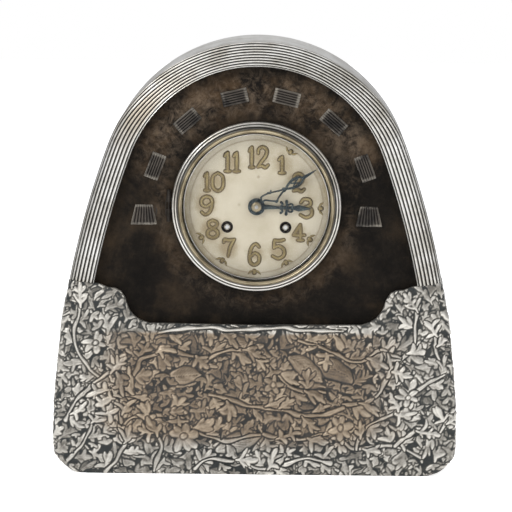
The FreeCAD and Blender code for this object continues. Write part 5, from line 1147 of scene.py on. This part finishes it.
def makeDial():
    face = dial["face"]
    marksAt = [onDial(pixel) for pixel, _, _ in numerals.values()]
    steps = dial["steps"]
    radius = np.concatenate([[dial["bore"]], np.linspace(dial["bore"] + 0.4, dial["radius"], dial["rings"])])
    turn = np.linspace(0, 2 * math.pi, steps, endpoint=False)
    x = np.outer(np.cos(turn), radius)
    z = dial["height"] + np.outer(np.sin(turn), radius)
    stain = np.zeros_like(x)
    for place in marksAt:
        strong = 0.95 if place[0] < -20 else 0.75
        stain = np.maximum(stain, strong * np.exp(-(np.hypot(x - place[0], z - place[1]) / 9.0) ** 2))
    stain += 0.75 * np.clip((radius - 47) / 7, 0, 1)[None, :] * (0.7 + 0.3 * np.sin(turn * 2 + 0.6)[:, None])
    stain *= np.where(radius < 16, 0.3, 1)[None, :]
    ring = np.exp(-((radius - dial["track"]) / 0.55) ** 2)[None, :] * np.ones((steps, 1))
    y = face - 0.18 * ring
    front = np.stack([x, y, z], axis=-1)
    back = np.stack([x[:, [-1, 0]], np.full((steps, 2), dial["back"]), z[:, [-1, 0]]], axis=-1)
    points = np.concatenate([front, back], axis=1)
    none = np.zeros((steps, 2))
    marks = {"stain": np.concatenate([stain, none], axis=1).ravel(),
             "ring": np.concatenate([ring, none], axis=1).ravel()}
    solid = Solid(points, [gridFaces(steps, points.shape[1], True, True)], marks)
    addPiece("dialFace", solid, "dial_cream", "case", ["dial_plate"], 40)
    tops, edges = [], []
    for number, (pixel, width, height) in numerals.items():
        place = onDial(pixel)
        digits = str(number)
        widths = [0.42 if digit == "1" else 1.0 for digit in digits]
        total = sum(widths) + 0.12 * (len(digits) - 1)
        unit = width / total if len(digits) > 1 else width
        left, tall = place[0] - width / 2, height - 2.4
        for digit, share in zip(digits, widths):
            span = unit * share if len(digits) > 1 else width
            for line in digitStrokes[digit]:
                points = np.array([(left + px * span, place[1] + (pz - 0.5) * tall) for px, pz in line])
                heavy = 1.2 if digit != "1" else 1.35
                tips = [heavy * 0.8, heavy, heavy * 1.05, heavy, heavy * 0.8]
                tops.append(ribbon(points, tips, face - 0.05, 0.55, 0.7, 0.6))
                edges.append(ribbon(points, [tip + 0.55 for tip in tips], face + 0.02, 0.32, 0.5, 0.6))
            left += span + 0.12 * unit
    for pixel in buds:
        place = onDial(pixel)
        out = place - np.array(centre)
        out /= np.linalg.norm(out)
        side = np.array([-out[1], out[0]])
        tops.append(ribbon([place - out * 0.4, place + out * 0.4], [1.5, 1.5], face, 0.6, 0.8, 0.4))
        edges.append(ribbon([place - out * 0.4, place + out * 0.4], [2.1, 2.1], face + 0.02, 0.3, 0.5, 0.4))
        for sign in (-1, 1):
            leaf = [place + side * sign * 1.2 - out * 1.2, place + side * sign * 3.0, place + side * sign
                    * 4.6 + out * 1.6]
            tops.append(ribbon(leaf, [0.5, 1.0, 0.4], face, 0.45, 0.8, 0.5))
    addPiece("numeralFaces", joined(tops), "numeral", "case", [], 60)
    addPiece("numeralEdges", joined(edges), "numeralEdge", "case", [], 60)


makeDial()

winding = {"spread": 21.8, "drop": 15.6,
           "profile": [(2.25, -54.6), (2.25, -55.35), (3.05, -55.45), (3.3, -55.95), (3.9, -55.95),
                       (4.3, -55.6), (4.4, -55.25), (3.7, -54.6)]}


def makeEyelets():
    solids = []
    for side in (-1, 1):
        middle = (side * winding["spread"], dial["height"] - winding["drop"])
        solids.append(lathed(winding["profile"], middle, 48))
    addPiece("windingEyelets", joined(solids), "eyelet", "case", ["winding_eyelets"], 50)


makeEyelets()
print("stage: dial made")


# hands: strokes in hand space, u along the hand, w to its left

hands = {
    "minute": {"angle": 57.6, "heavy": 1.25, "back": -60.4, "height": 0.75, "strokes": [
        ([(5.4, 1.5), (6.8, 4.2), (10.5, 4.3), (14.1, 3.6), (18, 2.3), (21.3, 1.2), (26, 0.1)],
         [0.55, 0.5, 0.6]),
        ([(5.6, 0.4), (8, 0.9), (11.5, -1.8), (14.9, -4.0), (18, -2.6), (22, -1.0), (26, 0)],
         [0.6, 0.5, 0.6]),
        ([(12.8, 4.6), (14.1, 3.4), (15.6, 4.8)], [0.5, 0.8, 0.4]),
        ([(13.5, -3.0), (14.9, -4.6), (16.6, -3.4)], [0.5, 0.9, 0.5]),
        ([(24, 1.6), (26, 0.2), (28, 1.8)], [0.4, 0.9, 0.4]),
        ([(24, -1.4), (26, -0.2), (28, -1.6)], [0.4, 0.9, 0.4]),
        ([(26, 0.2), (30, 2.2), (34.5, 3.0), (38.5, 2.2), (41, 0.2)], [0.6, 0.75, 0.9, 0.75, 0.6]),
        ([(26, -0.2), (30, -2.0), (34.5, -2.8), (38.5, -2.0), (41, -0.2)], [0.6, 0.75, 0.9, 0.75, 0.6]),
        ([(30, 2.0), (33, 0.4), (37, -1.8)], [0.4, 0.5, 0.4]),
        ([(31, -1.9), (34.5, 0.6), (38, 1.9)], [0.4, 0.5, 0.4]),
        ([(41, 0), (46, 0), (52.3, 0)], [1.05, 0.75, 0.22])]},
    "hour": {"angle": 91.6, "heavy": 1.3, "back": -58.2, "height": 0.75, "strokes": [
        ([(5.2, 0), (10, 0), (16, 0)], [1.5, 1.2, 0.85]),
        ([(16, 0), (20, 0), (28, 0)], [0.85, 1.0, 0.9]),
        ([(17.5, 0.4), (19.5, 2.6), (18.2, 4.0)], [0.5, 0.6, 0.75]),
        ([(17.5, -0.4), (19.5, -2.6), (18.2, -4.0)], [0.5, 0.6, 0.75]),
        ([(22.5, 0), (22.5, 2.5), (22.3, 4.7)], [0.6, 0.7, 0.95]),
        ([(22.5, 0), (22.5, -2.5), (22.3, -4.7)], [0.6, 0.7, 0.95]),
        ([(22.7, 1.6), (25.2, 3.0), (27.0, 2.2), (26.4, 0.8)], [0.45, 0.55, 0.6]),
        ([(22.7, -1.6), (25.2, -3.0), (27.0, -2.2), (26.4, -0.8)], [0.45, 0.55, 0.6]),
        ([(27, 0), (30, 0), (35, 0), (40.6, 0)], [0.9, 1.9, 1.2, 0.22])]},
}


def makeHand(name, nodeName, piece):
    hand = hands[name]
    angle = math.radians(hand["angle"])
    along = np.array([math.sin(angle), math.cos(angle)])
    left = np.array([-math.cos(angle), math.sin(angle)])
    solids = []
    for points, widths in hand["strokes"]:
        placed = [np.array(centre) + along * u + left * w for u, w in points]
        heavy = [width * hand["heavy"] for width in widths]
        solids.append(ribbon(placed, heavy, hand["back"], hand["height"], 0.45, 0.5, True, 9))
    back = hand["back"]
    if name == "hour":
        boss = [(3.2, back), (6.3, back), (6.4, back - 0.4), (5.9, back - 0.78), (4.6, back - 0.6),
                (3.2, back - 0.6)]
    else:
        boss = [(1.5, back), (4.5, back), (4.6, back - 0.4), (4.3, back - 0.75), (1.5, back - 0.75)]
    solids.append(lathed(boss, centre, 64).marked("middle", 0.5))
    addPiece(piece, joined(solids), "blued_steel", name, [nodeName], 50)


makeHand("hour", "hour_hand", "hourHand")
makeHand("minute", "minute_hand", "minuteHand")
collet = {"profile": [(1.25, -61.2), (3.8, -61.2), (3.7, -61.7), (3.0, -62.3), (2.3, -62.55), (1.25, -62.5)]}
addPiece("handCollet", lathed(collet["profile"], centre, 64), "gilt", "minute", ["hand_collet"], 50)
print("stage: hands made")


# back board, door, knob and hinge screws

rear = {"centre": (0.0, 150.0), "front": 52.2, "back": 61.9, "doorHalf": 61.9, "doorLow": 36.1,
        "doorSpring": 204.0, "gap": 0.6, "round": 0.9, "screwHeights": [71, 85, 195, 209],
        "caseScrewX": 70.4, "doorScrewX": 54.4}
knob = {"at": (-51.0, 140.0), "profile": [
        (0.05, 51.9), (1.9, 51.9), (1.9, 61.7), (4.6, 61.7), (4.8, 62.4), (3.0, 63.4),
        (2.4, 65.2), (3.3, 67.0), (5.4, 68.3), (6.1, 70.3), (5.7, 72.4), (4.0, 73.8), (1.9, 74.2),
        (0.05, 74.25)]}


def straight(start, end, spacing=0.5):
    count = int(math.dist(start, end) / spacing)
    share = np.linspace(0, 1, count)[:, None]
    return np.array(start) * (1 - share) + np.array(end) * share


def doorLoop(offset):
    half, low = rear["doorHalf"] + offset, rear["doorLow"] - offset
    turn = np.linspace(0, math.pi, 240)
    arch = np.stack([half * np.cos(turn), rear["doorSpring"] + half * np.sin(turn)], axis=1)
    spring = rear["doorSpring"]
    return np.vstack([arch, straight((-half, spring), (-half, low)), straight((-half, low), (half, low)),
                      straight((half, low), (half, spring))])


def plateAround(profile, angles):
    # profile pairs a reach for every angle with a depth
    points = np.empty((len(angles), len(profile), 3))
    for index, (reach, depth) in enumerate(profile):
        points[:, index, 0] = rear["centre"][0] + reach * np.cos(angles)
        points[:, index, 1] = depth
        points[:, index, 2] = rear["centre"][1] + reach * np.sin(angles)
    return Solid(points, [gridFaces(len(angles), len(profile), True, True)])


def makeBack():
    right, _ = outlineRight(1.5, 1.0)
    outer = np.vstack([right, (right * np.array([-1, 1]))[::-1], straight((-126, 1.5), (126, 1.5))])
    corners = [math.atan2(doorLoop(offset)[:, 1].min() - rear["centre"][1],
                          side * (rear["doorHalf"] + offset))
               for offset in (0, -rear["gap"]) for side in (-1, 1)]
    angles = np.sort(np.concatenate([np.linspace(-math.pi, math.pi, 400, endpoint=False), corners]))
    loops = (outer, doorLoop(0), doorLoop(-rear["gap"]))
    shape, hole, door = (reachOf(loop, rear["centre"], angles) for loop in loops)
    front, back, soft = rear["front"], rear["back"], rear["round"]
    board = plateAround([(shape, front), (shape, back - soft), (shape - soft, back), (hole + soft, back),
                         (hole, back - soft), (hole, front)], angles)
    addPiece("backBoard", board, "carcass_wood", "case", ["back_board"], 30)
    tiny = np.full(len(angles), 0.05)
    leaf = plateAround([(tiny, front), (door, front), (door, back - soft), (door - soft, back),
                        (tiny, back)], angles)
    addPiece("backDoor", leaf, "carcass_wood", "back_door", ["back_door"], 30)
    addPiece("doorKnob", lathed(knob["profile"], knob["at"], 64), "brass", "door_catch", ["door_knob"],
             50)
    head = [(0.05, 62.9), (2.1, 62.9), (2.1, 63.3), (1.6, 63.75), (0.8, 63.95), (0.05, 64.0)]
    screws = (("caseHingeScrews", "case", "caseScrewX"), ("doorHingeScrews", "back_door", "doorScrewX"))
    for name, body, x in screws:
        heads = [lathed(head, (rear[x], height), 24) for height in rear["screwHeights"]]
        addPiece(name, joined(heads), "brass", body, [], 40)


makeBack()
print("stage: back made")


# finishes of the solids that stay

bySlot = {"silvered_metal": "cladding", "embossed_metal": "embossed_metal", "dark_panel": "dark_panel"}
slots = {part["node"]: part["material_slot"] for part in frame["record"]["subparts"]}
softened = ["movement_front_plate", "movement_back_plate", "plate_pillars", "case_hinge_leaves",
            "door_hinge_leaves", "base_board", "front_board", "hammer", "suspension_cock", "gong_post"]
for name, node in frame["nodes"].items():
    slotName = slots.get(name, "steel")
    chosen = finishes.get(bySlot.get(slotName, slotName), finishes["steel"])
    if name.startswith("bezel_hinge"):
        chosen = finishes["dark_metal"]
    if name.endswith("winding_arbor"):
        chosen = finishes["winding"]
    node.data.materials.clear()
    node.data.materials.append(chosen)
    if name in softened:
        node.modifiers.new("weld", "WELD").merge_threshold = 0.000002
        edge = node.modifiers.new("edge", "BEVEL")
        edge.width, edge.segments, edge.angle_limit = 0.0002, 1, math.radians(38)
print("stage: carried nodes finished")


# stage, lamps, camera

stageSizes = {"floor": 6.0, "cameraAt": (0.0281, -3.56, 0.4870), "aim": (0.00002, -0.062, 0.16441),
              "lens": 331.13, "roll": 0.550, "sensor": 36}
studio = {"lowest": -1.0, "stops": ((0.0, (0.30, 0.30, 0.31)), (0.48, (0.20, 0.205, 0.215)),
                                    (0.62, (0.34, 0.345, 0.36)), (1.0, (0.85, 0.86, 0.88)))}
lamps = {
    "keyLamp": {"at": (-1.3, -1.7, 1.5), "aim": (0, 0, 0.15), "size": (0.9, 0.9), "power": 27},
    "fillLamp": {"at": (1.6, -1.3, 0.9), "aim": (0, 0, 0.15), "size": (0.7, 1.0), "power": 6},
    "topLamp": {"at": (0.0, 0.2, 1.9), "aim": (0, 0, 0.2), "size": (1.6, 1.0), "power": 13},
}


def makeFloor():
    mesh = bpy.data.meshes.new("floor")
    half = stageSizes["floor"]
    corners = [(-half, -half, 0), (half, -half, 0), (half, half, 0), (-half, half, 0)]
    mesh.from_pydata(corners, [], [(0, 1, 2, 3)])
    finish = Finish("floorWhite")
    dust = finish.noise(3, 2)
    white = finish.mixed(dust, (0.93, 0.93, 0.93), (0.95, 0.95, 0.95))
    mesh.materials.append(finish.done(white, 0.0, 0.9, Emission_Color=(1.0, 1.0, 1.0),
                                      Emission_Strength=0.75))
    floor = bpy.data.objects.new("floor", mesh)
    bpy.context.scene.collection.objects.link(floor)


def makeWorld():
    # the camera sees white, and the metal mirrors a ramp from the floor to the sky
    world = bpy.data.worlds.new("studio")
    bpy.context.scene.world = world
    world.use_nodes = True
    graph = Graph(world.node_tree)
    graph.tree.nodes.clear()
    around = graph.node("ShaderNodeTexCoord", {}, {}, "Generated")
    upward = graph.node("ShaderNodeSeparateXYZ", {}, {0: around}, "Z")
    shade = graph.node("ShaderNodeMapRange", {}, {"Value": upward, "From Min": studio["lowest"]})
    ramp = graph.node("ShaderNodeValToRGB", {"stops": studio["stops"]}, {0: shade})
    soft = graph.node("ShaderNodeBackground", {}, {"Color": ramp, "Strength": 1.0})
    white = graph.node("ShaderNodeBackground", {}, {"Color": (1.0, 1.0, 1.0), "Strength": 1.0})
    seen = graph.node("ShaderNodeLightPath", {}, {}, "Is Camera Ray")
    mix = graph.node("ShaderNodeMixShader", {}, {0: seen, 1: soft, 2: white})
    output = graph.tree.nodes.new("ShaderNodeOutputWorld")
    graph.connect(output.inputs["Surface"], mix)


def addLamp(name, lamp):
    light = bpy.data.lights.new(name, "AREA")
    light.shape = "RECTANGLE"
    light.size, light.size_y = lamp["size"]
    light.energy = lamp["power"]
    item = bpy.data.objects.new(name, light)
    bpy.context.scene.collection.objects.link(item)
    item.location = lamp["at"]
    item.rotation_euler = pointed(lamp["at"], lamp["aim"])


def pointed(place, aim):
    return (Vector(aim) - Vector(place)).to_track_quat("-Z", "Y").to_euler()


def makeCamera():
    camera = bpy.data.objects.new("camera", bpy.data.cameras.new("camera"))
    bpy.context.scene.collection.objects.link(camera)
    camera.location = stageSizes["cameraAt"]
    camera.rotation_euler = pointed(stageSizes["cameraAt"], stageSizes["aim"])
    camera.rotation_euler.rotate_axis("Z", math.radians(stageSizes["roll"]))
    camera.data.lens = stageSizes["lens"]
    camera.data.sensor_width = stageSizes["sensor"]
    bpy.context.scene.camera = camera
    bpy.context.scene.view_settings.view_transform = "Standard"


makeFloor()
makeWorld()
for name, lamp in lamps.items():
    addLamp(name, lamp)
makeCamera()
print("stage: camera and lamps set")
